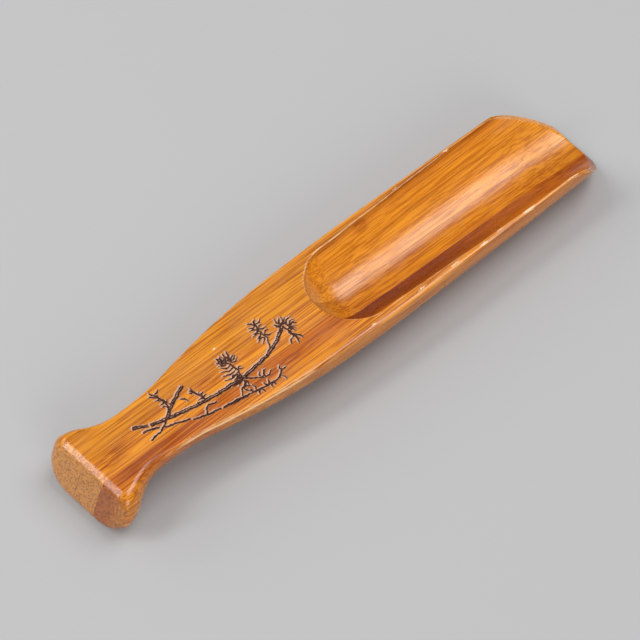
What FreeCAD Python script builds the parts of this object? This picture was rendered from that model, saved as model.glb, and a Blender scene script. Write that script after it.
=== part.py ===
"""Bamboo tea scoop glued up from side-by-side strips, all sizes in millimetres.

Frame: X runs along the scoop from the butt (-X) to the pouring lip (+X), Y runs across it and Z up.
The origin lies on the table under the middle of the scoop, and Z of zero is the sanded underside.
"""

import FreeCAD, Part
import math
import os

Vector = FreeCAD.Vector

# Overall sizes of the scoop
scoop_length = 165.0
scoop_depth = 14.5
sanding_depth = 0.25
top_sanding_depth = 0.06
cut_overrun = 6.0
section_step = 3.5
touch_distance = 0.001

# Butt, the flared end of the handle
butt_width = 27.4
butt_land = 4.5
butt_top_radius = 4.2
butt_bottom_radius = 8.5
butt_edge_radius = 3.3
butt_lean = 5.4
butt_bulge = 0.9
butt_skew_degrees = 4.5
edge_limit_share = 0.85

# Neck, the narrowest place of the handle
neck_width = 17.2
neck_depth = 7.8
neck_from_butt = 21.5
neck_top_radius = 1.9
neck_bottom_radius = 5.2

# Bowl, the widest place of the scoop
bowl_width = 29.5
bowl_from_butt = 96.0
bowl_top_radius = 0.7
bowl_bottom_radius = 10.8
bowl_depth = 13.7

# Belly of the bowl, where the underside is deepest
belly_width = 29.2
belly_from_butt = 121.0
belly_bottom_radius = 12.2

# Lip, the thin pouring end
lip_width = 28.0
lip_bottom_radius = 13.0
lip_thickness = 1.2

# Bevel that takes the rims down to the lip
bevel_length = 22.0
bevel_curve_radius = 12.0

# Trough for the tea leaves, open at the lip
trough_length = 90.0
trough_rear_width = 23.8
trough_rear_depth = 9.3
trough_middle_width = 25.9
trough_middle_depth = 10.6
trough_front_width = 27.0
trough_front_depth = 11.5
trough_lip_width = 26.8

# Glue lines between the three bamboo strips
glue_thickness = 0.12
left_glue_y = 2.4
right_glue_y = -4.5

# Shape of the flare between the butt's land and the neck
flare_place_shares = (0.26, 0.43, 0.60, 0.79)
flare_width_shares = (0.22, 0.57, 0.84, 0.97)
flare_depth_shares = (0.24, 0.55, 0.80, 0.95)
flare_radius_shares = (0.25, 0.50, 0.72, 0.88)

# Shape of the swell between the neck and the bowl
swell_place_shares = (0.10, 0.23, 0.38, 0.56, 0.77)
swell_width_shares = (0.05, 0.32, 0.61, 0.84, 0.96)
swell_depth_shares = (0.00, 0.07, 0.25, 0.52, 0.80)
swell_top_radius_shares = (0.35, 0.75, 1.00, 1.00, 1.00)
swell_bottom_radius_shares = (0.00, 0.02, 0.12, 0.36, 0.66)

# Places along the trough of its two sections between rear and lip
trough_middle_share = 0.40
trough_front_share = 0.70

# Shape of the front between the belly and the lip
front_place_shares = (0.26, 0.52, 0.77)
front_width_shares = (0.16, 0.42, 0.72)
front_radius_shares = (0.03, 0.20, 0.58)


def from_butt(distance):
    """Gives the X of a place that lies a distance from the butt's end."""
    return distance - scoop_length / 2


def half_reach():
    """Gives half the width of the blocks that hold the whole scoop."""
    return max(butt_width, bowl_width, belly_width, lip_width) / 2 + cut_overrun


def between(first, last, share):
    """Gives the value that lies a share of the way from first to last."""
    return first + (last - first) * share


def corner_middle(centre_y, centre_z, radius, side_y, side_z):
    """Gives the middle point of a quarter-round corner as a Y and Z pair."""
    offset = radius * math.cos(math.pi / 4)
    return centre_y + side_y * offset, centre_z + side_z * offset


def body_section(distance, width, depth, top_radius, bottom_radius):
    """Makes the outer section wire at a distance from the butt, flat on top and rounded below."""
    x = from_butt(distance)
    side = width / 2
    top = scoop_depth + top_sanding_depth
    bottom = scoop_depth - depth
    upper_y, upper_z = side - top_radius, top - top_radius
    lower_y, lower_z = side - bottom_radius, bottom + bottom_radius
    upper_mid_y, upper_mid_z = corner_middle(upper_y, upper_z, top_radius, 1, 1)
    lower_mid_y, lower_mid_z = corner_middle(lower_y, lower_z, bottom_radius, 1, -1)

    def point(y, z):
        return Vector(x, y, z)

    edges = [
        Part.makeLine(point(-upper_y, top), point(upper_y, top)),
        Part.Arc(point(upper_y, top), point(upper_mid_y, upper_mid_z), point(side, upper_z)).toShape(),
        Part.makeLine(point(side, upper_z), point(side, lower_z)),
        Part.Arc(point(side, lower_z), point(lower_mid_y, lower_mid_z), point(lower_y, bottom)).toShape(),
        Part.makeLine(point(lower_y, bottom), point(-lower_y, bottom)),
        Part.Arc(point(-lower_y, bottom), point(-lower_mid_y, lower_mid_z), point(-side, lower_z)).toShape(),
        Part.makeLine(point(-side, lower_z), point(-side, upper_z)),
        Part.Arc(point(-side, upper_z), point(-upper_mid_y, upper_mid_z), point(-upper_y, top)).toShape(),
    ]
    return Part.Wire(edges)


def body_rows():
    """Lists the shaped places of the body from the butt to the lip, each with its four sizes."""
    full_depth = scoop_depth + sanding_depth
    butt = (butt_width, full_depth, butt_top_radius, butt_bottom_radius)
    neck = (neck_width, neck_depth, neck_top_radius, neck_bottom_radius)
    bowl = (bowl_width, bowl_depth, bowl_top_radius, bowl_bottom_radius)
    belly = (belly_width, full_depth, bowl_top_radius, belly_bottom_radius)
    lip = (lip_width, full_depth, bowl_top_radius, lip_bottom_radius)

    def rows_between(first, last, first_place, last_place, share_rows):
        for place_share, *shares in share_rows:
            sizes = [between(a, b, share) for a, b, share in zip(first, last, shares)]
            yield (between(first_place, last_place, place_share), *sizes)

    flare = zip(flare_place_shares, flare_width_shares, flare_depth_shares,
                flare_radius_shares, flare_radius_shares)
    swell = zip(swell_place_shares, swell_width_shares, swell_depth_shares,
                swell_top_radius_shares, swell_bottom_radius_shares)
    front = zip(front_place_shares, front_width_shares, front_place_shares,
                front_place_shares, front_radius_shares)
    return [
        (0, *butt),
        (butt_land, *butt),
        *rows_between(butt, neck, butt_land, neck_from_butt, flare),
        (neck_from_butt, *neck),
        *rows_between(neck, bowl, neck_from_butt, bowl_from_butt, swell),
        (bowl_from_butt, *bowl),
        (belly_from_butt, *belly),
        *rows_between(belly, lip, belly_from_butt, scoop_length, front),
        (scoop_length, *lip),
    ]


def steady_slopes(places, values):
    """Gives slopes for a smooth curve through the values that never swings past them."""
    steps = [b - a for a, b in zip(places, places[1:])]
    rates = [(b - a) / step for a, b, step in zip(values, values[1:], steps)]
    slopes = [0.0]
    for before, after, step, next_step in zip(rates, rates[1:], steps, steps[1:]):
        if before * after <= 0:
            slopes.append(0.0)
            continue
        mixed = (before * next_step + after * step) / (step + next_step)
        sign = math.copysign(1, before)
        slopes.append(2 * sign * min(abs(before), abs(after), abs(mixed) / 2))
    slopes.append(0.0)
    return slopes


def curve_value(places, values, slopes, place):
    """Reads the smooth curve at a place, level before its first point and after its last."""
    if place <= places[0]:
        return values[0]
    for k in range(len(places) - 1):
        step = places[k + 1] - places[k]
        if place <= places[k + 1]:
            t = (place - places[k]) / step
            rise = t * t * (3 - 2 * t)
            start_pull = t * (1 - t) ** 2 * step * slopes[k]
            end_pull = t * t * (t - 1) * step * slopes[k + 1]
            return between(values[k], values[k + 1], rise) + start_pull + end_pull
    return values[-1]


def body_stations():
    """Lists evenly spaced outer sections from before the butt to past the lip."""
    rows = body_rows()
    places = [row[0] for row in rows]
    columns = list(zip(*rows))[1:]
    slopes = [steady_slopes(places, column) for column in columns]
    first, last = -cut_overrun, scoop_length + cut_overrun
    count = round((last - first) / section_step)
    stations = []
    for k in range(count + 1):
        place = between(first, last, k / count)
        sizes = [curve_value(places, c, m, place) for c, m in zip(columns, slopes)]
        stations.append((place, *sizes))
    return stations


def extrude_across(edges):
    """Extrudes a closed side-view outline across the whole width of the scoop."""
    face = Part.Face(Part.Wire(edges))
    face.translate(Vector(0, -half_reach(), 0))
    return face.extrude(Vector(0, 2 * half_reach(), 0))


def butt_end_tool():
    """Makes the tool that gives the butt its leaning, slightly bulging end face."""
    high = scoop_depth + cut_overrun
    low = -cut_overrun
    slope = butt_lean / scoop_depth
    top_x = from_butt(0) + slope * high
    low_x = from_butt(0) + slope * low
    outside_x = from_butt(-cut_overrun) - cut_overrun
    middle = Vector((top_x + low_x) / 2 - butt_bulge, 0, (high + low) / 2)
    top, bottom = Vector(top_x, 0, high), Vector(low_x, 0, low)
    outside_top, outside_bottom = Vector(outside_x, 0, high), Vector(outside_x, 0, low)
    tool = extrude_across([
        Part.Arc(bottom, middle, top).toShape(),
        Part.makeLine(top, outside_top),
        Part.makeLine(outside_top, outside_bottom),
        Part.makeLine(outside_bottom, bottom),
    ])
    tool.rotate(Vector(from_butt(0), 0, 0), Vector(0, 0, 1), butt_skew_degrees)
    return tool


def lip_end_tool():
    """Makes the tool that bevels the rims down to the lip and squares off the end."""
    end_x = from_butt(scoop_length)
    start_x = end_x - bevel_length
    drop = scoop_depth - lip_thickness
    # The straight run leaves the curve where it aims at the lip's upper corner.
    aim_length = math.hypot(bevel_length, drop - bevel_curve_radius)
    straight = math.sqrt(aim_length ** 2 - bevel_curve_radius ** 2)
    angle = math.atan2(drop - bevel_curve_radius, bevel_length) + math.atan2(bevel_curve_radius, straight)
    centre_z = scoop_depth - bevel_curve_radius

    def on_curve(turn):
        return Vector(
            start_x + bevel_curve_radius * math.sin(turn),
            0,
            centre_z + bevel_curve_radius * math.cos(turn),
        )

    past_x = end_x + 2 * cut_overrun
    high = scoop_depth + cut_overrun
    start, middle, leave = on_curve(0), on_curve(angle / 2), on_curve(angle)
    lip_top = Vector(end_x, 0, lip_thickness)
    lip_bottom = Vector(end_x, 0, -cut_overrun)
    corners = [
        lip_bottom,
        Vector(past_x, 0, -cut_overrun),
        Vector(past_x, 0, high),
        Vector(start_x, 0, high),
        start,
    ]
    edges = [Part.Arc(start, middle, leave).toShape()]
    edges.append(Part.makeLine(leave, lip_top))
    edges.append(Part.makeLine(lip_top, lip_bottom))
    for first, last in zip(corners, corners[1:]):
        edges.append(Part.makeLine(first, last))
    return extrude_across(edges)


def trough_circle(width, depth):
    """Gives the radius and centre height of the round section that has this width and depth."""
    radius = (width ** 2 / 4 + depth ** 2) / (2 * depth)
    return radius, scoop_depth + radius - depth


def trough_tools():
    """Makes the ball and the long round tool that hollow out the trough."""
    rear_x = from_butt(scoop_length - trough_length) + trough_rear_width / 2
    end_x = from_butt(scoop_length)
    axis = Vector(1, 0, 0)
    lip_depth = scoop_depth - lip_thickness
    sections = [
        (rear_x, trough_rear_width, trough_rear_depth),
        (between(rear_x, end_x, trough_middle_share), trough_middle_width, trough_middle_depth),
        (between(rear_x, end_x, trough_front_share), trough_front_width, trough_front_depth),
        (end_x, trough_lip_width, lip_depth),
        (end_x + cut_overrun, trough_lip_width, lip_depth),
    ]
    wires = []
    for x, width, depth in sections:
        radius, height = trough_circle(width, depth)
        wires.append(Part.Wire([Part.makeCircle(radius, Vector(x, 0, height), axis)]))
    rear_radius, rear_height = trough_circle(trough_rear_width, trough_rear_depth)
    ball = Part.makeSphere(rear_radius, Vector(rear_x, 0, rear_height))
    return ball, Part.makeLoft(wires, True)


def sanded_block():
    """Makes the block between the sanded underside and the sanded top that holds the whole scoop."""
    length = scoop_length + 2 * cut_overrun
    corner = Vector(-length / 2, -half_reach(), 0)
    return Part.makeBox(length, 2 * half_reach(), scoop_depth, corner)


def butt_end_edges(blank, end_tool):
    """Finds the edges round the butt's end face."""
    edges = []
    for edge in blank.Edges:
        middle = edge.valueAt((edge.FirstParameter + edge.LastParameter) / 2)
        near_butt = middle.x < from_butt(butt_land + butt_lean)
        if near_butt and end_tool.distToShape(Part.Vertex(middle))[0] < touch_distance:
            edges.append(edge)
    return edges


def scoop_blank():
    """Makes the whole scoop as it would be carved from the glued blank."""
    wires = [body_section(*station) for station in body_stations()]
    body = Part.makeLoft(wires, True)
    end_tool = butt_end_tool()
    blank = body.cut(end_tool)
    edge_radius = min(butt_edge_radius, butt_top_radius * edge_limit_share)
    blank = blank.makeFillet(edge_radius, butt_end_edges(blank, end_tool))
    blank = blank.common(sanded_block())
    ball, channel = trough_tools()
    return blank.cut(ball).cut(channel).cut(lip_end_tool())


def strip_planes():
    """Makes the planes that part the strips from the glue lines, one on each face of each line."""
    size = scoop_length + 2 * half_reach()
    planes = []
    for glue_y in (left_glue_y, right_glue_y):
        for y in (glue_y + glue_thickness / 2, glue_y - glue_thickness / 2):
            planes.append(Part.makePlane(size, size, Vector(-size / 2, y, -size / 2), Vector(0, 1, 0)))
    return planes


def main():
    """Builds the scoop, parts it at its glue lines and writes one file per piece."""
    os.makedirs("parts", exist_ok=True)
    names = (
        "left_bamboo_strip",
        "left_glue_line",
        "middle_bamboo_strip",
        "right_glue_line",
        "right_bamboo_strip",
    )
    pieces, _ = scoop_blank().generalFuse(strip_planes())
    solids = sorted(pieces.Solids, key=lambda solid: -solid.CenterOfMass.y)
    print(len(solids), "solids for", len(names), "pieces")
    for name, solid in zip(names, solids):
        solid.exportStep("parts/" + name + ".step")
        print(name, round(solid.Volume), "mm3", solid.isValid())


main()
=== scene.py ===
"""Bamboo tea scoop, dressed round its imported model: carved strips, glue lines, lacquer and a plain studio.

Sizes are in millimetres, measured along the scoop from the butt's end, across it from its middle
and up from the table, and turned to metres where a mesh is made.
"""

import logging
import math
from dataclasses import dataclass, field
from enum import Enum

import bpy
import numpy as np
from mathutils import Matrix, Quaternion, Vector


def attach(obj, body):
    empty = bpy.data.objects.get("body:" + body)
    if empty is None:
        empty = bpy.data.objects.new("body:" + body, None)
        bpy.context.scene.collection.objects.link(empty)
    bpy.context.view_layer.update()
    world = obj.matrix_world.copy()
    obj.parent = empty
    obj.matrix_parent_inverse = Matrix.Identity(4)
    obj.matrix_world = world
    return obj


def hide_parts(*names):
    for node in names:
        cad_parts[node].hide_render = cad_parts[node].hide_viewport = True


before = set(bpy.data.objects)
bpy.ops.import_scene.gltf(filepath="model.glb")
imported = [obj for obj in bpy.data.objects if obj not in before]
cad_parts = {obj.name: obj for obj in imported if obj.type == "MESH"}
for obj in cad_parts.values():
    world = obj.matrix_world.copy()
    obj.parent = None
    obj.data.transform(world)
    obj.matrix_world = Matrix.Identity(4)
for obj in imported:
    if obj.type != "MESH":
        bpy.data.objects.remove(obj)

Array = np.ndarray

MM = 0.001
MIDDLE_GREY = 0.5
LOG = logging.getLogger("tea_scoop")

# Added where a division could meet zero
TINY = 0.001
NEARLY_ZERO = 1e-9


# Form of the scoop


class Side(Enum):
    """Which way a strip lies from the middle of the scoop."""

    LEFT = 1
    RIGHT = -1


def smooth_step(share: Array) -> Array:
    """Turns a share that grows evenly into one that starts and ends gently."""
    return share * share * (3 - 2 * share)


class SteadyCurve:
    """A smooth curve through chosen values that never swings past them."""

    def __init__(self, places: list[float], values: list[float]) -> None:
        """Keeps the points and works out the slope at each.

        Args:
            places: Growing distances of the points.
            values: The value at each place.
        """
        self.places = np.array(places, float)
        self.values = np.array(values, float)
        steps = np.diff(self.places)
        rates = np.diff(self.values) / steps
        before, after = rates[:-1], rates[1:]
        mixed = (before * steps[1:] + after * steps[:-1]) / (steps[1:] + steps[:-1])
        least = np.minimum(np.minimum(np.abs(before), np.abs(after)), np.abs(mixed) / 2)
        inner = np.where(before * after > 0, 2 * np.sign(before) * least, 0)
        self.slopes = np.concatenate([[0], inner, [0]])

    def at(self, place: Array) -> Array:
        """Reads the curve, level before its first point and after its last.

        Args:
            place: Distances to read at.

        Returns:
            The value at each distance.
        """
        place = np.clip(place, self.places[0], self.places[-1])
        k = np.clip(np.searchsorted(self.places, place, side="right") - 1, 0, len(self.places) - 2)
        step = self.places[k + 1] - self.places[k]
        t = (place - self.places[k]) / step
        pull = t * (1 - t) ** 2 * self.slopes[k] + t * t * (t - 1) * self.slopes[k + 1]
        return self.values[k] + (self.values[k + 1] - self.values[k]) * smooth_step(t) + pull * step


def smooth_least(first: Array, second: Array, reach: float) -> Array:
    """Gives the lesser of two heights, with the crease between them rounded.

    Args:
        first: One height field.
        second: The other height field.
        reach: How far from the crease the rounding goes.

    Returns:
        The blended heights.
    """
    share = np.clip(0.5 + (second - first) / (2 * reach), 0, 1)
    return second + (first - second) * share - reach * share * (1 - share)


@dataclass
class ScoopForm:
    """Outer form and trough of the scoop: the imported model's sizes, and the fine ones it leaves out."""

    length: float = 165.0
    height: float = 14.5
    sanding: float = 0.25
    top_sanding: float = 0.06

    butt_width: float = 27.4
    butt_land: float = 4.5
    butt_top_radius: float = 4.2
    butt_bottom_radius: float = 8.5
    butt_edge_radius: float = 3.3
    butt_lean: float = 5.4
    butt_bulge: float = 0.9
    butt_skew: float = math.radians(4.5)
    profile_overrun: float = 6.0

    neck_width: float = 17.2
    neck_depth: float = 7.8
    neck_place: float = 21.5
    neck_top_radius: float = 1.9
    neck_bottom_radius: float = 5.2

    bowl_width: float = 29.5
    bowl_place: float = 96.0
    bowl_top_radius: float = 0.9
    bowl_bottom_radius: float = 10.8
    bowl_depth: float = 13.7
    belly_width: float = 29.2
    belly_place: float = 121.0
    belly_bottom_radius: float = 12.2
    lip_width: float = 28.0
    lip_bottom_radius: float = 13.0
    lip_thickness: float = 1.2
    bevel_length: float = 22.0
    near_bevel_length: float = 17.0
    bevel_blend: float = 8.0
    bevel_curve_radius: float = 12.0

    trough_length: float = 90.0
    trough_rear_width: float = 23.8
    trough_rear_depth: float = 9.3
    trough_middle_width: float = 25.9
    trough_middle_depth: float = 10.6
    trough_front_width: float = 27.0
    trough_front_depth: float = 11.5
    trough_lip_width: float = 26.8
    trough_entry_width: float = 24.75
    trough_entry_depth: float = 10.2
    trough_entry_share: float = 0.20
    trough_middle_share: float = 0.40
    trough_front_share: float = 0.70
    rim_rounding: float = 0.45

    facet_places: tuple = (56.0, 76.0, 150.0, 160.0)
    facet_widths: tuple = (0.0, 1.2, 0.8, 0.0)
    facet_slope: float = 0.42

    crease_places: tuple = (17.0, 28.0, 58.0, 72.0)
    crease_reaches: tuple = (0.0, 0.45, 0.45, 0.0)
    crease_depth: float = 0.6
    crease_end: float = 4.5
    crease_rounding: float = 0.3
    crease_radius: float = 0.4

    # Painted highlight band below the handle's right top edge, laid into the edge mark
    highlight_band_depth: float = 0.42
    highlight_band_half_width: float = 0.5
    highlight_band_strength: float = 1.7

    flare_place_shares: tuple = (0.26, 0.43, 0.60, 0.79)
    flare_width_shares: tuple = (0.22, 0.57, 0.84, 0.97)
    flare_depth_shares: tuple = (0.24, 0.55, 0.80, 0.95)
    flare_radius_shares: tuple = (0.25, 0.50, 0.72, 0.88)
    swell_place_shares: tuple = (0.10, 0.23, 0.38, 0.56, 0.77)
    swell_width_shares: tuple = (0.05, 0.32, 0.61, 0.84, 0.96)
    swell_depth_shares: tuple = (0.00, 0.07, 0.25, 0.52, 0.80)
    swell_top_radius_shares: tuple = (0.35, 0.75, 1.00, 1.00, 1.00)
    swell_bottom_radius_shares: tuple = (0.00, 0.02, 0.12, 0.36, 0.66)
    front_place_shares: tuple = (0.26, 0.52, 0.77)
    front_width_shares: tuple = (0.16, 0.42, 0.72)
    front_radius_shares: tuple = (0.03, 0.20, 0.58)

    def __post_init__(self) -> None:
        """Works out the curves of the outer form and the trough."""
        full = self.height + self.sanding
        butt = (self.butt_width, full, self.butt_top_radius, self.butt_bottom_radius)
        neck = (self.neck_width, self.neck_depth, self.neck_top_radius, self.neck_bottom_radius)
        bowl = (self.bowl_width, self.bowl_depth, self.bowl_top_radius, self.bowl_bottom_radius)
        belly = (self.belly_width, full, self.bowl_top_radius, self.belly_bottom_radius)
        lip = (self.lip_width, full, self.bowl_top_radius, self.lip_bottom_radius)
        flare = zip(self.flare_place_shares, self.flare_width_shares, self.flare_depth_shares,
                    self.flare_radius_shares, self.flare_radius_shares)
        swell = zip(self.swell_place_shares, self.swell_width_shares, self.swell_depth_shares,
                    self.swell_top_radius_shares, self.swell_bottom_radius_shares)
        front = zip(self.front_place_shares, self.front_width_shares, self.front_place_shares,
                    self.front_place_shares, self.front_radius_shares)
        rows = [
            (0, *butt),
            (self.butt_land, *butt),
            *self.rows_between(butt, neck, self.butt_land, self.neck_place, flare),
            (self.neck_place, *neck),
            *self.rows_between(neck, bowl, self.neck_place, self.bowl_place, swell),
            (self.bowl_place, *bowl),
            (self.belly_place, *belly),
            *self.rows_between(belly, lip, self.belly_place, self.length, front),
            (self.length, *lip),
        ]
        places, *columns = zip(*rows)
        self.size_curves = [SteadyCurve(places, column) for column in columns]
        self.rear_place = self.length - self.trough_length + self.trough_rear_width / 2
        run = self.length - self.rear_place
        shares = (0, self.trough_entry_share, self.trough_middle_share, self.trough_front_share, 1)
        trough_places = [self.rear_place + share * run for share in shares]
        circles = [
            self.circle(self.trough_rear_width, self.trough_rear_depth),
            self.circle(self.trough_entry_width, self.trough_entry_depth),
            self.circle(self.trough_middle_width, self.trough_middle_depth),
            self.circle(self.trough_front_width, self.trough_front_depth),
            self.circle(self.trough_lip_width, self.height - self.lip_thickness),
        ]
        self.trough_radius = SteadyCurve(trough_places, [radius for radius, _ in circles])
        self.trough_centre = SteadyCurve(trough_places, [centre for _, centre in circles])

    @staticmethod
    def rows_between(first: tuple, last: tuple, start: float, end: float, share_rows: zip) -> list:
        """Lists the places between two named ones, each with its four sizes.

        Args:
            first: Sizes at the start.
            last: Sizes at the end.
            start: Distance of the start.
            end: Distance of the end.
            share_rows: For each place its share of the way and of each size.

        Returns:
            Rows of a distance and four sizes.
        """
        rows = []
        for place_share, *shares in share_rows:
            sizes = [a + (b - a) * share for a, b, share in zip(first, last, shares)]
            rows.append((start + (end - start) * place_share, *sizes))
        return rows

    def circle(self, width: float, depth: float) -> tuple[float, float]:
        """Gives the radius and centre height of a trough section of this width and depth."""
        radius = (width ** 2 / 4 + depth ** 2) / (2 * depth)
        return radius, self.height + radius - depth

    def sizes(self, place: Array, inset: Array) -> tuple[Array, ...]:
        """Gives the outer section at each place, drawn in by an inset.

        Args:
            place: Distances from the butt's end.
            inset: How far the whole outline is drawn in there.

        Returns:
            Half width, top, bottom, top radius and bottom radius.
        """
        width, depth, top_radius, bottom_radius = [curve.at(place) for curve in self.size_curves]
        top = self.height + self.top_sanding - inset
        bottom = self.height - depth + inset
        least_radius = self.top_sanding
        return (width / 2 - inset, top, bottom, np.maximum(top_radius - inset, least_radius),
                np.maximum(bottom_radius - inset, least_radius))

    def creased(self, place: Array) -> Array:
        """Gives how fully the handle's right flank has its crease at each place, from 0 to 1."""
        return np.interp(place, self.crease_places, self.crease_reaches) / max(self.crease_reaches)

    def crease(self, place: Array, below: Array) -> Array:
        """Gives how far the right flank of the handle stands out below its top edge.

        Args:
            place: Distances from the butt's end.
            below: Depths below the top edge.

        Returns:
            The reach at each point, widest a little below the edge.
        """
        reach = np.interp(place, self.crease_places, self.crease_reaches)
        rise = below / self.crease_depth
        fall = (self.crease_end - below) / (self.crease_end - self.crease_depth)
        return reach * np.clip(smooth_least(rise, fall, self.crease_rounding), 0, 1)

    def painted_highlight_band(self, place: Array, across: Array, height: Array) -> Array:
        """Marks the band below the handle's right top edge that is painted pale all along as a painted
        highlight.

        Args:
            place: Distances from the butt's end.
            across: Distances from the middle.
            height: Heights above the table.

        Returns:
            A mark that passes 1 in the middle of the band.
        """
        below = self.height - height
        outside = -across > self.size_curves[0].at(place) / 2 - self.crease_radius
        band = np.clip(1 - np.abs(below - self.highlight_band_depth) / self.highlight_band_half_width, 0, 1)
        return np.where(outside, self.highlight_band_strength * self.creased(place) * band, 0)

    def facet_drop(self, place: Array, across: Array) -> Array:
        """Gives how far the soft facet along the right top edge lies below the flat top.

        Args:
            place: Distances from the butt's end.
            across: Distances from the middle.

        Returns:
            The drop at each distance.
        """
        width = np.interp(place, self.facet_places, self.facet_widths)
        half = self.size_curves[0].at(place) / 2
        into = np.clip(-across - half + width, 0, width)
        return self.facet_slope * into * into / (2 * np.maximum(width, TINY))

    def rim_height(self, place: Array, across: Array) -> Array:
        """Gives the height of the flat top, or of the bevel that takes it down to the lip.

        Args:
            place: Distances from the butt's end.
            across: Distances from the middle; the bevel starts later on the right side.

        Returns:
            The height at each distance.
        """
        drop = self.height - self.lip_thickness
        radius = self.bevel_curve_radius
        side = smooth_step(np.clip((across / self.bevel_blend + 1) / 2, 0, 1))
        length = self.near_bevel_length + (self.bevel_length - self.near_bevel_length) * side
        straight = np.sqrt(length ** 2 + (drop - radius) ** 2 - radius ** 2)
        angle = np.arctan2(drop - radius, length) + np.arctan2(radius, straight)
        along = np.clip(place - self.length + length, 0, length)
        curved = self.height - radius + np.sqrt(np.maximum(radius ** 2 - along ** 2, 0))
        sloped = self.lip_thickness + (length - along) * np.tan(angle)
        return np.where(along < radius * np.sin(angle), curved, sloped) - self.facet_drop(place, across)

    def trough_height(self, place: Array, across: Array) -> Array:
        """Gives the height of the trough's floor and walls, far above the rim outside it.

        Args:
            place: Distances from the butt's end.
            across: Distances from the middle.

        Returns:
            The height at each point.
        """
        radius = self.trough_radius.at(place)
        centre = self.trough_centre.at(place)
        behind = np.minimum(place - self.rear_place, 0)
        left = radius ** 2 - behind ** 2 - across ** 2
        return np.where(left > 0, centre - np.sqrt(np.maximum(left, 0)), centre + self.height)

    def trough_half_width(self, place: Array, level: Array) -> Array:
        """Gives half the trough's width at a level, or zero where there is none.

        Args:
            place: Distances from the butt's end.
            level: Heights above the table.

        Returns:
            Half the width at each point.
        """
        radius = self.trough_radius.at(place)
        centre = self.trough_centre.at(place)
        behind = np.minimum(place - self.rear_place, 0)
        left = radius ** 2 - behind ** 2 - (centre - level) ** 2
        return np.sqrt(np.maximum(left, 0))

    def top_height(self, place: Array, across: Array) -> Array:
        """Gives the height of the rims and the trough together, with the rim's edge eased."""
        rim = self.rim_height(place, across)
        return smooth_least(rim, self.trough_height(place, across), self.rim_rounding)

    def end_lead(self, across: Array, height: Array) -> Array:
        """Gives how far the butt's leaning, bulging and slightly skewed end stands forward.

        Args:
            across: Distances from the middle.
            height: Heights above the table.

        Returns:
            The end face's distance from the butt's end plane.
        """
        high = self.height + self.profile_overrun
        low = -self.profile_overrun
        middle, half = (high + low) / 2, (high - low) / 2
        lean = self.butt_lean / self.height * height
        bulge = self.butt_bulge * (1 - ((height - middle) / half) ** 2)
        return (lean - bulge) / math.cos(self.butt_skew) - across * math.tan(self.butt_skew)

    def end_slope(self, height: Array, out_y: Array, out_z: Array) -> Array:
        """Gives how fast the end face's lead grows toward the outside of the outline.

        Args:
            height: Heights above the table.
            out_y: The outward direction's part across the scoop.
            out_z: The outward direction's part upward.

        Returns:
            Lead gained per millimetre outward.
        """
        half = self.height / 2 + self.profile_overrun
        rise = self.butt_lean / self.height + 2 * self.butt_bulge * (height - self.height / 2) / half ** 2
        return out_z * rise / math.cos(self.butt_skew) - out_y * math.tan(self.butt_skew)


# Carved ornament on the handle


@dataclass(frozen=True)
class Stroke:
    """One cut of the knife: a straight groove that swells and tapers."""

    start: tuple[float, float]
    end: tuple[float, float]
    start_width: float
    end_width: float
    depth: float


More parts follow.
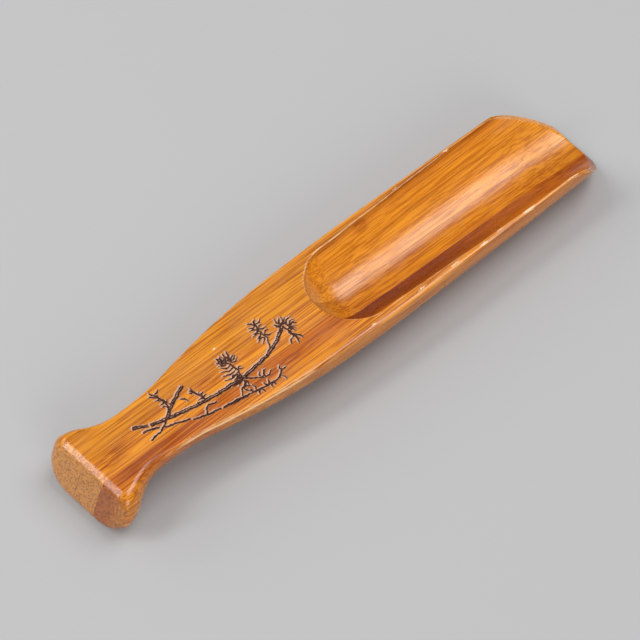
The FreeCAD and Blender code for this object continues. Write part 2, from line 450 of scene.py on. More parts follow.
@dataclass
class CarvedSpray:
    """A traditional spray of bamboo: jointed canes, side twigs and fans of narrow leaves."""

    cane_width: float = 0.86
    cane_depth: float = 0.34
    cane_cut_share: float = 0.36
    cane_side_share: float = 0.33
    cane_thin_line: float = 0.75
    cane_thick_line: float = 1.45
    joint_gap: float = 0.42
    twig_width: float = 0.30
    end_taper: float = 0.85

    leaf_width: float = 0.34
    leaf_depth: float = 0.30
    leaf_bend: float = 0.16
    leaf_start: float = 0.2
    leaf_belly: float = 0.5
    leaf_root_share: float = 0.55
    leaf_tip_width: float = 0.10
    outer_leaf_loss: float = 0.30
    second_leaf_loss: float = 0.14

    wobble: float = 0.075
    slow_sway: tuple = (2.3, 0.9)
    quick_sway: tuple = (5.1, 2.2)
    quick_start: float = 1.0
    quick_share: float = 0.6
    drift: tuple = (1.1, 2.9)
    cut_rim: float = 0.05
    thin_cut_gain: float = 2.2
    halo: float = 0.36
    # Shift of the painted highlight on one side of each cut
    highlight_shift: float = 0.24
    strokes: list[Stroke] = field(default_factory=list)

    def __post_init__(self) -> None:
        """Lays out the spray, one sprig after another from the butt to the trough."""
        self.carve_stems()
        self.carve_lower_leaves()
        self.carve_middle_leaves()
        self.carve_upper_leaves()
        self.carve_near_leaves()

    def carve_stems(self) -> None:
        """Carves the jointed canes and the long twigs beside them."""
        self.cane([(19.2, 2.4), (22.6, 0.5)], 0.9)
        self.cane([(23.1, 0.2), (28.9, -1.4), (35.2, -2.8), (41.0, -3.6), (48.6, -4.1),
                   (56.4, -3.2), (60.9, -1.6), (64.9, 0.9)], 1.0)
        self.cane([(27.0, -1.0), (30.2, 1.2), (35.6, 3.8)], 0.95)
        self.twig([(20.9, -3.1), (24.4, -2.6), (27.0, -1.0)], 1.3)
        self.twig([(20.6, -0.3), (22.6, -0.8), (24.2, -1.6)], 1.4)
        self.twig([(25.6, -2.5), (28.4, -3.5), (31.3, -4.7)], 1.3)
        self.twig([(32.0, -5.3), (35.2, -6.5), (38.6, -7.2)], 1.5)
        self.twig([(39.4, -7.5), (42.8, -8.3), (46.2, -8.8)], 1.4)
        self.twig([(39.4, -7.5), (43.2, -7.9), (46.4, -8.7), (51.4, -9.7), (54.9, -9.9), (56.8, -8.3)], 1.2)
        self.twig([(29.4, 1.0), (29.7, 3.4), (29.2, 5.0), (27.6, 6.4)], 1.1)

    def carve_lower_leaves(self) -> None:
        """Carves the leaves of the short side cane and of the first joints."""
        self.fan((29.6, 3.2), 165, 2, 55, 1.7)
        self.fan((29.4, 4.6), 150, 2, 60, 1.9)
        self.fan((28.9, 6.0), 70, 2, 90, 2.1)
        self.fan((29.2, 1.6), 200, 2, 100, 1.3)
        self.fan((29.9, 2.2), 20, 2, 90, 1.3)
        self.fan((32.9, 1.4), 300, 1, 0, 2.3)
        self.twig([(36.1, 1.4), (36.9, -0.4), (37.5, -2.6)], 1.3)
        self.fan((36.4, 0.7), 120, 2, 80, 1.4)
        self.fan((37.2, -1.6), 30, 3, 90, 1.5)
        self.fan((37.5, -2.4), 190, 2, 60, 1.7)
        self.twig([(35.3, -6.3), (35.9, -5.1), (37.2, -4.5), (39.0, -5.2)], 1.1)

    def carve_middle_leaves(self) -> None:
        """Carves the long leaves and the tuft in the middle of the handle."""
        self.twig([(48.0, -4.0), (48.6, -1.6), (48.2, 0.8), (46.8, 3.2)], 1.2)
        long_leaves = ((48.0, -3.6, 196, 3.6), (48.3, -2.8, 188, 4.0), (48.5, -2.0, 180, 4.2),
                       (48.5, -1.2, 172, 3.9), (48.4, -0.4, 166, 3.4), (48.3, 0.4, 158, 2.9))
        for place, across, heading, length in long_leaves:
            self.fan((place, across), heading, 1, 0, length)
        self.fan((47.8, 1.6), 110, 4, 130, 2.4)
        self.fan((47.2, 2.6), 70, 3, 90, 2.0)
        self.fan((48.6, 0.9), 40, 3, 70, 2.6)
        self.fan((48.8, -1.4), 350, 2, 40, 1.5)
        self.fan((49.0, 2.4), 100, 3, 60, 2.2)
        self.fan((49.2, 1.2), 60, 2, 50, 2.0)
        self.fan((47.6, 2.2), 150, 3, 60, 2.4)
        self.fan((48.0, -2.4), 205, 3, 40, 2.6)

    def carve_upper_leaves(self) -> None:
        """Carves the side twig and the tuft at the end of the main cane."""
        self.twig([(58.6, -1.8), (59.9, 0.6), (59.6, 3.6), (60.3, 6.4)], 1.1)
        left_leaves = ((59.8, 5.0, 140), (59.7, 3.8, 170), (59.6, 2.6, 185), (59.5, 1.4, 205))
        for place, across, heading in left_leaves:
            self.fan((place, across), heading, 2, 34, 2.6)
        for place, across, heading in ((60.1, 5.4, 40), (59.9, 3.8, 10), (59.9, 2.0, 350)):
            self.fan((place, across), heading, 2, 46, 2.3)
        self.fan((65.0, 1.0), 80, 4, 120, 2.9)
        self.fan((65.6, 0.4), 10, 4, 100, 3.0)
        self.fan((64.2, 0.2), 150, 2, 60, 2.0)
        self.fan((65.4, -0.6), 300, 3, 90, 2.2)
        self.fan((66.2, 0.2), 330, 3, 80, 2.4)
        self.fan((64.8, 1.6), 60, 3, 80, 2.2)
        self.twig([(64.8, 0.4), (65.3, -1.6), (65.1, -3.2)], 1.1)
        self.fan((65.2, -1.6), 330, 2, 70, 2.2)
        self.fan((65.2, -3.0), 262, 3, 86, 3.0)

    def carve_near_leaves(self) -> None:
        """Carves the leaves between the main cane and the handle's right edge."""
        self.twig([(48.4, -4.4), (50.2, -6.0), (51.9, -7.5)], 1.2)
        self.fan((51.7, -7.2), 62, 2, 30, 2.6)
        self.fan((52.2, -7.5), 30, 2, 34, 3.2)
        self.fan((48.0, -4.7), 232, 3, 70, 2.6)
        self.twig([(48.2, -5.4), (46.0, -6.4), (44.9, -7.9)], 1.0)
        self.fan((46.4, -6.2), 330, 3, 80, 2.5)
        self.fan((48.2, -9.1), 100, 2, 44, 2.4)
        self.fan((49.4, -9.3), 250, 2, 60, 1.9)
        self.fan((51.4, -9.7), 80, 2, 60, 2.0)
        self.fan((52.6, -9.8), 265, 2, 50, 1.6)
        self.fan((55.6, -9.6), 280, 1, 0, 1.8)
        self.fan((56.6, -8.6), 40, 2, 70, 1.8)

    def cane(self, points: list[tuple[float, float]], share: float) -> None:
        """Cuts a jointed cane as two close lines, broken at each joint.

        Args:
            points: The joints, as distances along and across the handle.
            share: The cane's width as a share of the full one.
        """
        width = self.cane_width * share
        for first, last in zip(points, points[1:]):
            start, end = np.array(first), np.array(last)
            along = (end - start) / np.linalg.norm(end - start)
            start = start + along * self.joint_gap / 2
            end = end - along * self.joint_gap / 2
            aside = np.array([-along[1], along[0]]) * width * self.cane_side_share
            cut = width * self.cane_cut_share
            for shift, weight in ((aside, self.cane_thin_line), (-aside, self.cane_thick_line)):
                self.strokes.append(Stroke(tuple(start + shift), tuple(end + shift), cut * weight,
                                           cut * weight * self.end_taper, self.cane_depth))
            self.strokes.append(Stroke(tuple(start - aside), tuple(start + aside), cut, cut, self.cane_depth))

    def twig(self, points: list[tuple[float, float]], share: float = 1.0) -> None:
        """Cuts a thin twig through its points, its width a share of the usual one.

        Args:
            points: Points along and across the handle.
            share: The width as a share of the usual one.
        """
        width = self.twig_width * share
        for first, last in zip(points, points[1:]):
            self.strokes.append(Stroke(first, last, width, width * self.end_taper, self.leaf_depth))

    def fan(self, root: tuple[float, float], heading: float, count: int, spread: float,
            length: float) -> None:
        """Cuts a fan of bent leaves, each swelling from its root and running out to a point.

        Args:
            root: Where the leaves meet.
            heading: Direction of the middle of the fan in degrees.
            count: How many leaves.
            spread: Angle between the outermost leaves in degrees.
            length: Length of the longest leaf.
        """
        for k in range(count):
            share = k / (count - 1) - 0.5 if count > 1 else 0.0
            turn = math.radians(heading + spread * share)
            reach = length * (1 - self.outer_leaf_loss * abs(share) - self.second_leaf_loss * (k % 2))
            way = np.array([math.cos(turn), math.sin(turn)])
            aside = np.array([-way[1], way[0]]) * reach * self.leaf_bend * (1 if share >= 0 else -1)
            base = np.array(root) + way * self.leaf_start
            belly = np.array(root) + way * reach * self.leaf_belly + aside
            tip = np.array(root) + way * reach
            self.strokes.append(Stroke(tuple(base), tuple(belly), self.leaf_width * self.leaf_root_share,
                                       self.leaf_width, self.leaf_depth))
            self.strokes.append(Stroke(tuple(belly), tuple(tip), self.leaf_width, self.leaf_tip_width,
                                       self.leaf_depth))

    def cut(self, place: Array, across: Array) -> tuple[Array, Array]:
        """Reads the carving at points of the handle's top.

        Args:
            place: Distances from the butt's end.
            across: Distances from the middle.

        Returns:
            Depth of the cut, and how near a cut the point is: 1 inside it, 0 past its halo.
        """
        depth = np.zeros(place.shape)
        burn = np.zeros(place.shape)
        slow = np.sin(self.slow_sway[0] * place + self.slow_sway[1] * across)
        quick = np.sin(self.quick_sway[0] * place - self.quick_sway[1] * across + self.quick_start)
        sway = slow + self.quick_share * quick
        place = place + self.wobble * np.sin(self.drift[1] * across + self.drift[0] * place)
        across = across + self.wobble * sway
        for stroke in self.strokes:
            start, end = np.array(stroke.start), np.array(stroke.end)
            run = end - start
            t = ((place - start[0]) * run[0] + (across - start[1]) * run[1]) / (run @ run)
            t = np.clip(t, 0, 1)
            away = np.hypot(place - start[0] - t * run[0], across - start[1] - t * run[1])
            half = (stroke.start_width + (stroke.end_width - stroke.start_width) * t) / 2
            groove = np.clip(1 - (away / (half + self.cut_rim)) ** 2, 0, 1)
            groove = groove * np.minimum(half / self.leaf_width * self.thin_cut_gain, 1)
            depth = np.maximum(depth, stroke.depth * groove)
            burn = np.maximum(burn, np.clip(1 - (away - half) / self.halo, 0, 1))
        return depth, burn


# Strips and glue lines


@dataclass(frozen=True)
class RubbedSpot:
    """A spot where the lacquer is chipped off, or where the bamboo is stained."""

    place: float
    across: float
    length: float
    width: float
    strength: float


@dataclass(frozen=True)
class Wear:
    """Where the scoop is worn: chips along the rims, a nick on the handle and a few stains."""

    spots: tuple[RubbedSpot, ...] = (
        RubbedSpot(134.4, -13.8, 2.4, 0.55, 1.0),
        RubbedSpot(150.0, -13.6, 3.0, 0.30, 0.9),
        RubbedSpot(118.7, -13.9, 1.6, 0.40, 1.0),
        RubbedSpot(124.5, -13.4, 1.4, 0.30, 0.8),
        RubbedSpot(98.0, -13.5, 1.8, 0.35, 0.8),
        RubbedSpot(82.0, -13.5, 1.4, 0.35, 0.8),
        RubbedSpot(109.0, -13.6, 2.2, 0.30, 0.8),
        RubbedSpot(48.05, 6.7, 0.45, 0.30, 1.0),
        RubbedSpot(131.0, 13.6, 1.3, 0.30, 0.8),
        RubbedSpot(113.0, 13.3, 1.2, 0.30, 0.7),
    )
    stains: tuple[RubbedSpot, ...] = (
        RubbedSpot(11.5, -0.8, 6.0, 2.4, 1.0),
        RubbedSpot(13.0, -6.5, 6.0, 1.6, 0.6),
        RubbedSpot(41.0, 0.4, 5.0, 1.5, 0.8),
        RubbedSpot(59.0, -7.4, 9.0, 1.4, 0.8),
        RubbedSpot(56.0, 9.0, 5.0, 1.0, 0.5),
        RubbedSpot(100.0, 11.6, 2.2, 1.0, 1.0),
        RubbedSpot(85.5, 6.4, 1.1, 0.8, 0.9),
        RubbedSpot(104.0, -7.4, 16.0, 1.0, 0.6),
    )
    lowest_chip: float = 10.5
    lowest_stain: float = 2.0
    spot_reach: float = 1.5

    def mark(self, spots: tuple[RubbedSpot, ...], lowest: float, place: Array, across: Array,
             height: Array) -> Array:
        """Marks the spots on points of the surface.

        Args:
            spots: The spots to mark.
            lowest: The height below which the surface stays clear.
            place: Distances from the butt's end.
            across: Distances from the middle.
            height: Heights above the table.

        Returns:
            A mark from 0 to 1.
        """
        marks = np.zeros(place.shape)
        for spot in spots:
            away = np.hypot((place - spot.place) / spot.length, (across - spot.across) / spot.width)
            marks = np.maximum(marks, spot.strength * np.clip(self.spot_reach - away, 0, 1))
        return np.where(height > lowest, marks, 0)


@dataclass
class Stations:
    """Places along the scoop where the meshes have a section, closest where the detail is."""

    form: ScoopForm
    end_rings: int = 9
    tip_rings: int = 4
    tip_radius: float = 0.35
    lead_fade_end: float = 20.0
    spans: tuple = ((17.0, 0.55), (70.0, 0.145), (90.0, 0.26), (158.0, 0.75), (164.65, 0.4))

    def __post_init__(self) -> None:
        """Lists the stations from the butt's end face to the lip."""
        self.turns = np.linspace(0, 1, self.end_rings)[:, None]
        places = [self.form.butt_edge_radius] * self.end_rings
        for end, step in self.spans:
            count = max(round((end - places[-1]) / step), 1)
            places.extend(np.linspace(places[-1], end, count + 1)[1:])
        thins = [0.0] * len(places)
        for turn in np.linspace(0, math.pi / 2, self.tip_rings + 1)[1:]:
            places.append(self.form.length - self.tip_radius * (1 - math.sin(turn)))
            thins.append(self.tip_radius * (1 - math.cos(turn)))
        self.places = np.array(places)[:, None]
        self.thins = np.array(thins)[:, None]

    def rounded(self, slopes: Array) -> tuple[Array, Array]:
        """Rounds the edge between the end face and the outside, whatever their angle.

        Args:
            slopes: How fast the end face leads outward at each point of a ring.

        Returns:
            Distances before the end face's lead, and insets, a row per station.
        """
        radius = self.form.butt_edge_radius
        reach = np.sqrt(1 + slopes ** 2)
        first = np.arctan(slopes)
        turn = first + (math.pi / 2 - first) * self.turns
        insets = np.zeros((len(self.places), len(slopes)))
        insets[:self.end_rings] = radius * (1 - np.sin(turn))
        first_end = self.spans[0][0]
        edge_end = radius * (reach - slopes)
        share = np.clip((first_end - self.places) / (first_end - radius), 0, 1)
        places = self.places + (edge_end - radius) * share
        places[:self.end_rings] = radius * (reach - np.cos(turn) - slopes * np.sin(turn))
        return places, insets

    def fade(self) -> Array:
        """Gives how far each station leans with the end face, from 1 to 0."""
        edge = self.form.butt_edge_radius
        return 1 - smooth_step(np.clip((self.places - edge) / (self.lead_fade_end - edge), 0, 1))


@dataclass
class Piece:
    """One lengthwise piece of the scoop between two upright planes."""

    name: str
    node: str
    slot: str
    low_y: float
    high_y: float


@dataclass
class ScoopBody:
    """The three bamboo strips and two glue lines, each a closed mesh cut from one shared form."""

    form: ScoopForm = field(default_factory=ScoopForm)
    spray: CarvedSpray = field(default_factory=CarvedSpray)
    wear: Wear = field(default_factory=Wear)
    glue_thickness: float = 0.12
    left_glue_y: float = 2.4
    right_glue_y: float = -4.5
    box_margin: tuple = (0.07, 0.006, 0.001)
    least_wood: float = 0.02
    outer_points: int = 44
    rim_points: int = 22
    wall_points: int = 60
    middle_top_points: int = 48
    middle_bottom_points: int = 18
    glue_points: int = 3
    outer_crowding: float = 1.7
    cap_rings: int = 10
    end_passes: int = 5
    edge_passes: int = 7
    edge_window: int = 7
    edge_pull: float = 0.5
    anchor_place: float = 84.0
    anchor_start: float = 80.0
    anchor_end: float = 92.0
    widest_column: float = 0.985
    spray_start: float = 16.0
    spray_end: float = 71.0
    unworn_reach: float = 0.6
    bend_reach: int = 2
    bend_softening: float = 0.2
    least_bend: float = 0.25
    bend_span: float = 0.75
    sharp_angle: float = math.radians(58)

    def __post_init__(self) -> None:
        """Works out the shared stations."""
        self.stations = Stations(self.form)

    def pieces(self) -> list[Piece]:
        """Lists the pieces from the left side to the right.

        Returns:
            The five pieces.
        """
        half = self.glue_thickness / 2
        side = self.form.bowl_width
        return [
            Piece("left_strip", "left_bamboo_strip", "left_bamboo", self.left_glue_y + half, side),
            Piece("left_glue", "left_glue_line", "glue",
                  self.left_glue_y - half, self.left_glue_y + half),
            Piece("middle_strip", "middle_bamboo_strip", "middle_bamboo",
                  self.right_glue_y + half, self.left_glue_y - half),
            Piece("right_glue", "right_glue_line", "glue",
                  self.right_glue_y - half, self.right_glue_y + half),
            Piece("right_strip", "right_bamboo_strip", "right_bamboo", -side, self.right_glue_y - half),
        ]

    def side_section(self, place: Array, inset: Array, start_y: float, side: Side) -> tuple:
        """Draws the open outline of a side strip: underside, flank, rim and trough.

        Args:
            place: Distance along the scoop of each point.
            inset: How far each point is drawn in from the outside.
            start_y: Distance of the glue plane from the middle.
            side: Which side the strip is on.

        Returns:
            Distances from the middle and heights, a row per station, and how burnt each point is.
        """
        outer, thin = self.outer_points, self.stations.thins
        across, height = self.flank_section(place[:, :outer], inset[:, :outer], start_y, side)
        edge_y = np.maximum(across[:, -1:], start_y)
        inner_y = self.inner_columns(edge_y, start_y, side)
        inner_z = self.form.top_height(place[:, outer:], inner_y * side.value) - thin
        inner_z = np.minimum(inner_z, self.form.height + self.form.top_sanding - inset[:, outer:])
        depth, burn = self.carving(place[:, outer:], inner_y * side.value)
        y = np.concatenate([across, inner_y], axis=1)
        z = np.concatenate([height, inner_z], axis=1)
        self.ease_edges(y, z, (outer - 1, outer + self.rim_points - 1))
        z[:, outer:] -= depth
        z[:, outer:] = np.maximum(z[:, outer:], self.least_wood + thin)
        return y * side.value, z, np.concatenate([np.zeros_like(across), burn], axis=1)

    def flank_section(self, place: Array, inset: Array, start_y: float, side: Side) -> tuple[Array, Array]:
        """Draws a side strip from its glue plane round the underside and up its flank.

        Args:
            place: Distance along the scoop of each point.
            inset: How far each point is drawn in from the outside.
            start_y: Distance of the glue plane from the middle.
            side: Which side the strip is on.

        Returns:
            Distances from the middle toward the side, and heights, a row per station.
        """
        thin = self.stations.thins
        half, top, bottom, top_radius, bottom_radius = self.form.sizes(place, inset)
        if side is Side.RIGHT:
            top_radius = top_radius + (self.form.crease_radius - top_radius) * self.form.creased(place)
        level = np.minimum(self.form.rim_height(place, half * side.value) - thin, top)
        flat = half - bottom_radius
        start_turn = np.arcsin(np.clip((start_y - flat) / bottom_radius, 0, 1))
        start = np.where(start_y < flat, start_y, flat + bottom_radius * start_turn)
        flank = top - bottom - top_radius - bottom_radius
        in_arc = np.arccos(np.clip(1 - (level - bottom) / bottom_radius, -1, 1)) * bottom_radius
        in_top = np.arcsin(np.clip((level - top + top_radius) / top_radius, 0, 1)) * top_radius
        quarter = math.pi / 2
        in_flank = quarter * bottom_radius + (level - bottom - bottom_radius)
        past_flank = quarter * bottom_radius + flank + in_top
        end = flat + np.where(level < bottom + bottom_radius, in_arc,
                              np.where(level < top - top_radius, in_flank, past_flank))
        share = 1 - (1 - np.linspace(0, 1, self.outer_points)) ** self.outer_crowding
        along = start + np.maximum(end - start, 0) * share[None, :]
        turn = np.clip((along - flat) / bottom_radius, 0, quarter)
        up = np.clip(along - flat - quarter * bottom_radius, 0, flank)
        top_turn = np.clip((along - flat - quarter * bottom_radius - flank) / top_radius, 0, quarter)
        across = np.minimum(along, flat) + bottom_radius * np.sin(turn) - top_radius * (1 - np.cos(top_turn))
        height = bottom + bottom_radius * (1 - np.cos(turn)) + up + top_radius * np.sin(top_turn)
        height = np.maximum(height, thin)
        if side is Side.RIGHT:
            across = across + self.form.crease(place, level - height)
        return across, height

    def inner_columns(self, edge_y: Array, start_y: float, side: Side) -> Array:
        """Spreads a side strip's points over its rim and down the trough's wall.

        Args:
            edge_y: Distance of the outer edge from the middle at each station.
            start_y: Distance of the glue plane from the middle.
            side: Which side the strip is on.

        Returns:
            Distances from the middle toward the side, a row per station.
        """
        column, angle_share = self.wall_columns(edge_y, start_y, side)
        rim = edge_y + (column - edge_y) * np.linspace(0, 1, self.rim_points + 1)[None, 1:]
        wall_share = np.linspace(0, 1, self.wall_points + 1)[None, 1:]
        straight = column + (start_y - column) * wall_share
        radius = self.form.trough_radius.at(self.stations.places)
        first_turn = np.arcsin(np.clip(column / radius, 0, 1))
        last_turn = np.arcsin(np.clip(start_y / radius, 0, 1))
        turned = radius * np.sin(first_turn + (last_turn - first_turn) * wall_share)
        turned[:, -1] = start_y
        return np.concatenate([rim, straight + (turned - straight) * angle_share], axis=1)

    def wall_columns(self, edge_y: Array, start_y: float, side: Side) -> tuple[Array, Array]:
        """Places the mesh column that follows the trough's upper edge along the rims.

        Args:
            edge_y: Distance of the outer edge from the middle at each station.
            start_y: Distance of the glue plane from the middle.
            side: Which side the strip is on.

        Returns:
            The column's distance from the middle, and how far the wall is divided by angle.
        """
        form = self.form
        here = self.stations.places
        level = form.rim_height(here, edge_y * side.value)
        trough = form.trough_half_width(here, level)
        anchor = np.array([[self.anchor_place]])
        anchor_width = form.trough_half_width(anchor, form.rim_height(anchor, anchor))
        share = anchor_width / (form.size_curves[0].at(anchor) / 2)
        handle = edge_y * np.minimum(share, self.widest_column)
        column = np.where(here < self.anchor_place, handle, trough)
        column = np.clip(column, start_y, edge_y)
        blend = np.clip((here - self.anchor_start) / (self.anchor_end - self.anchor_start), 0, 1)
        return column, smooth_step(blend)

    def ease_edges(self, y: Array, z: Array, corners: tuple[int, ...]) -> None:
        """Rounds the outline a little at its corners, as sanding does.

        Args:
            y: Distances from the middle, a row per station.
            z: Heights, a row per station.
            corners: Where in each row the corners are.
        """
        index = np.arange(y.shape[1])
        weight = np.zeros(y.shape[1])
        for corner in corners:
            weight = np.maximum(weight, np.clip(1 - np.abs(index - corner) / self.edge_window, 0, 1))
        weight = (weight * self.edge_pull)[None, 1:-1]
        for _ in range(self.edge_passes):
            before = np.hypot(y[:, 1:-1] - y[:, :-2], z[:, 1:-1] - z[:, :-2]) + TINY
            after = np.hypot(y[:, 2:] - y[:, 1:-1], z[:, 2:] - z[:, 1:-1]) + TINY
            for values in (y, z):
                mean = (values[:, :-2] * after + values[:, 2:] * before) / (before + after)
                values[:, 1:-1] += (mean - values[:, 1:-1]) * weight

    def carving(self, place: Array, across: Array) -> tuple[Array, Array]:
        """Reads the carved spray, only over the stretch of the handle that holds it.

        Args:
            place: Distance along the scoop of each point.
            across: Distances from the middle.

        Returns:
            Depth of the cut and how burnt each point is.
        """
        depth, burn = np.zeros(across.shape), np.zeros(across.shape)
        stations = self.stations.places[:, 0]
        rows = (stations > self.spray_start) & (stations < self.spray_end)
        there = np.broadcast_to(place, across.shape)[rows]
        depth[rows], burn[rows] = self.spray.cut(there, across[rows])
        return depth, burn

    def flat_section(self, place: Array, inset: Array, low_y: float, high_y: float,
                     counts: tuple[int, int]) -> tuple:
        """Draws the closed outline of a piece inside the scoop: underside, then top.

        Args:
            place: Distance along the scoop of each point.
            inset: How far each point is drawn in from the outside.
            low_y: The piece's right plane.
            high_y: The piece's left plane.
            counts: Points along the underside and the top.

        Returns:
            Distances from the middle and heights, a row per station, and how burnt each point is.
        """
        under, over = counts
        thin = self.stations.thins
        under_y = np.broadcast_to(np.linspace(low_y, high_y, under), (len(thin), under))
        over_y = np.broadcast_to(np.linspace(high_y, low_y, over), (len(thin), over))
        half, _, bottom, _, radius = self.form.sizes(place[:, :under], inset[:, :under])
        past = np.clip(np.abs(under_y) - (half - radius), 0, radius)
        under_z = bottom + radius - np.sqrt(np.maximum(radius ** 2 - past ** 2, 0))
        under_z = np.maximum(under_z, thin)
        over_z = self.form.top_height(place[:, under:], over_y) - thin
        over_z = np.minimum(over_z, self.form.height + self.form.top_sanding - inset[:, under:])
        depth, burn = self.carving(place[:, under:], over_y)
        over_z = np.maximum(over_z - depth, self.least_wood + thin)
        y = np.concatenate([under_y, over_y], axis=1)
        z = np.concatenate([under_z, over_z], axis=1)
        return y, z, np.concatenate([np.zeros_like(under_y), burn], axis=1)

    def outline(self, piece: Piece) -> tuple[Array, Array, Array, Array]:
        """Draws every section of a piece, each point at its own true place.

        Args:
            piece: The piece to draw.

        Returns:
            Distances along, distances across, heights and burnt shares, a row per station.
        """
        side = Side.LEFT if piece.high_y > 0 else Side.RIGHT
        outermost = max(abs(piece.low_y), abs(piece.high_y)) >= self.form.bowl_width
        start = min(abs(piece.low_y), abs(piece.high_y))
        if outermost:
            first = self.outer_points
            total = first + self.rim_points + self.wall_points
        else:
            counts = (self.middle_bottom_points, self.middle_top_points)
            counts = (self.glue_points, self.glue_points) if piece.slot == "glue" else counts
            first, total = counts[0], sum(counts)

        def drawn(place: Array, inset: Array) -> tuple:
            """Draws the sections for these places and insets.

            Args:
                place: Distance along the scoop of each point.
                inset: How far each point is drawn in.

            Returns:
                Distances across, heights and burnt shares.
            """
            if outermost:
                return self.side_section(place, inset, start, side)
            return self.flat_section(place, inset, piece.low_y, piece.high_y, counts)

        flat = np.repeat(self.stations.places, total, axis=1)
        y, z, _ = drawn(flat, np.zeros_like(flat))
        row = self.stations.end_rings - 1
        out_y, out_z = np.zeros(total), np.where(np.arange(total) < first, -1.0, 1.0)
        if outermost:
            run_y, run_z = np.gradient(y[row]), np.gradient(z[row])
            length = np.hypot(run_y, run_z)
            out_y, out_z = side.value * run_z / length, -side.value * run_y / length
        places, insets = self.stations.rounded(self.form.end_slope(z[row], out_y, out_z))
        place = places.copy()
        for _ in range(self.end_passes):
            y, z, burn = drawn(place, insets)
            place = places + self.stations.fade() * self.form.end_lead(y, z)
        return place, y, z, burn

    def mesh(self, piece: Piece) -> bpy.types.Object:
        """Makes a piece's closed mesh with its carving marked.

        Args:
            piece: The piece to make.

        Returns:
            The new object.
        """
        x, y, z, burn = self.outline(piece)
        count, width = x.shape
        points = list(np.stack([x - self.form.length / 2, y, z], axis=-1).reshape(-1, 3))
        faces = []
        for k in range(count - 1):
            first = k * width + np.arange(width)
            following = k * width + (np.arange(width) + 1) % width
            faces.extend(np.stack([first, following, following + width, first + width], axis=-1).tolist())
        self.close_end(points, faces, 0, width, True)
        self.close_end(points, faces, (count - 1) * width, width, False)
        burns = np.zeros(len(points))
        burns[:burn.size] = burn.ravel()
        return self.finish_mesh(piece, np.array(points), burns, faces, width)

    def close_end(self, points: list, faces: list, ring_start: int, width: int, at_butt: bool) -> None:
        """Closes one end of a mesh with shrinking rings and a fan.

        Args:
            points: The mesh's points, which the new ones join.
            faces: The mesh's faces, which the new ones join.
            ring_start: Number of the first point of the end's own ring.
            width: How many points a ring has.
            at_butt: Whether this is the leaning end of the butt.
        """
        ring = np.array(points[ring_start:ring_start + width])
        centre = ring.mean(axis=0)
        before = ring_start + np.arange(width)
        rows = []
        for k in range(1, self.cap_rings + 1):
            placed = centre + (ring - centre) * (1 - k / (self.cap_rings + 1))
            if at_butt:
                placed[:, 0] = self.form.end_lead(placed[:, 1], placed[:, 2]) - self.form.length / 2
            now = len(points) + np.arange(width)
            points.extend(placed)
            rows.extend(np.stack([before, now, np.roll(now, -1), np.roll(before, -1)], axis=-1).tolist())
            before = now
        if at_butt:
            centre[0] = self.form.end_lead(centre[1], centre[2]) - self.form.length / 2
        points.append(centre)
        hub = np.full(width, len(points) - 1)
        rows.extend(np.stack([before, hub, np.roll(before, -1)], axis=-1).tolist())
        faces.extend(rows if at_butt else [row[::-1] for row in rows])

    def finish_mesh(self, piece: Piece, points: Array, burns: Array, faces: list,
                    width: int) -> bpy.types.Object:
        """Puts points and faces into a mesh, turns its faces outward and marks its sharp edges.

        Args:
            piece: The piece that the mesh is of.
            points: Its points in millimetres.
            burns: How burnt each point is.
            faces: The numbers of each face's points.
            width: How many points a ring has.

        Returns:
            The new object.
        """
        reach = np.array([self.form.length / 2, self.form.bowl_width / 2, self.form.height]) - self.box_margin
        points = np.clip(points, -reach, reach)
        points[:, 2] = np.maximum(points[:, 2], 0)
        mesh = bpy.data.meshes.new(piece.name)
        mesh.from_pydata((points * MM).tolist(), [], faces)
        mesh.validate()
        mesh.update()
        for name, marks in self.surface_marks(piece, points, burns, width).items():
            layer = mesh.attributes.new(name, "FLOAT", "POINT")
            layer.data.foreach_set("value", marks.astype(np.float32))
        if self.volume(mesh) < 0:
            mesh.flip_normals()
        mesh.shade_smooth()
        mesh.set_sharp_from_angle(angle=self.sharp_angle)
        thing = bpy.data.objects.new(piece.name, mesh)
        bpy.context.scene.collection.objects.link(thing)
        return thing

    def surface_marks(self, piece: Piece, points: Array, burns: Array, width: int) -> dict[str, Array]:
        """Works out the marks that the finishes read from the mesh.

        Args:
            piece: The piece that the mesh is of.
            points: Its points in millimetres.
            burns: How burnt each point is.
            width: How many points a ring has.

        Returns:
            A value per point for each mark: burnt, worn edge with painted highlight, painted highlight on one
                side of a cut, chip and stain.
        """
        place, across, height = points[:, 0] + self.form.length / 2, points[:, 1], points[:, 2]
        bare = [np.abs(across - plane) > self.unworn_reach for plane in (piece.low_y, piece.high_y)]
        # Pale line on sharp bends: edge wear, and also a painted highlight along the rims and edges
        edge = self.bend(points, width) * bare[0] * bare[1]
        near = (place > self.spray_start) & (place < self.spray_end) & (height > self.form.height / 2)
        # Painted highlight on one side of each cut: the carving read again, shifted a little
        shift = self.spray.highlight_shift
        cut_highlight = np.zeros(len(points))
        cut_highlight[near] = self.spray.cut(place[near] + shift, across[near] - shift)[1]
        wear = self.wear
        # The edge mark also takes the painted highlight band on the handle's right flank
        return {
            "burn": burns,
            "edge": np.maximum(edge, self.form.painted_highlight_band(place, across, height)),
            "cut_highlight": cut_highlight,
            "chip": wear.mark(wear.spots, wear.lowest_chip, place, across, height),
            "stain": wear.mark(wear.stains, wear.lowest_stain, place, across, height),
        }

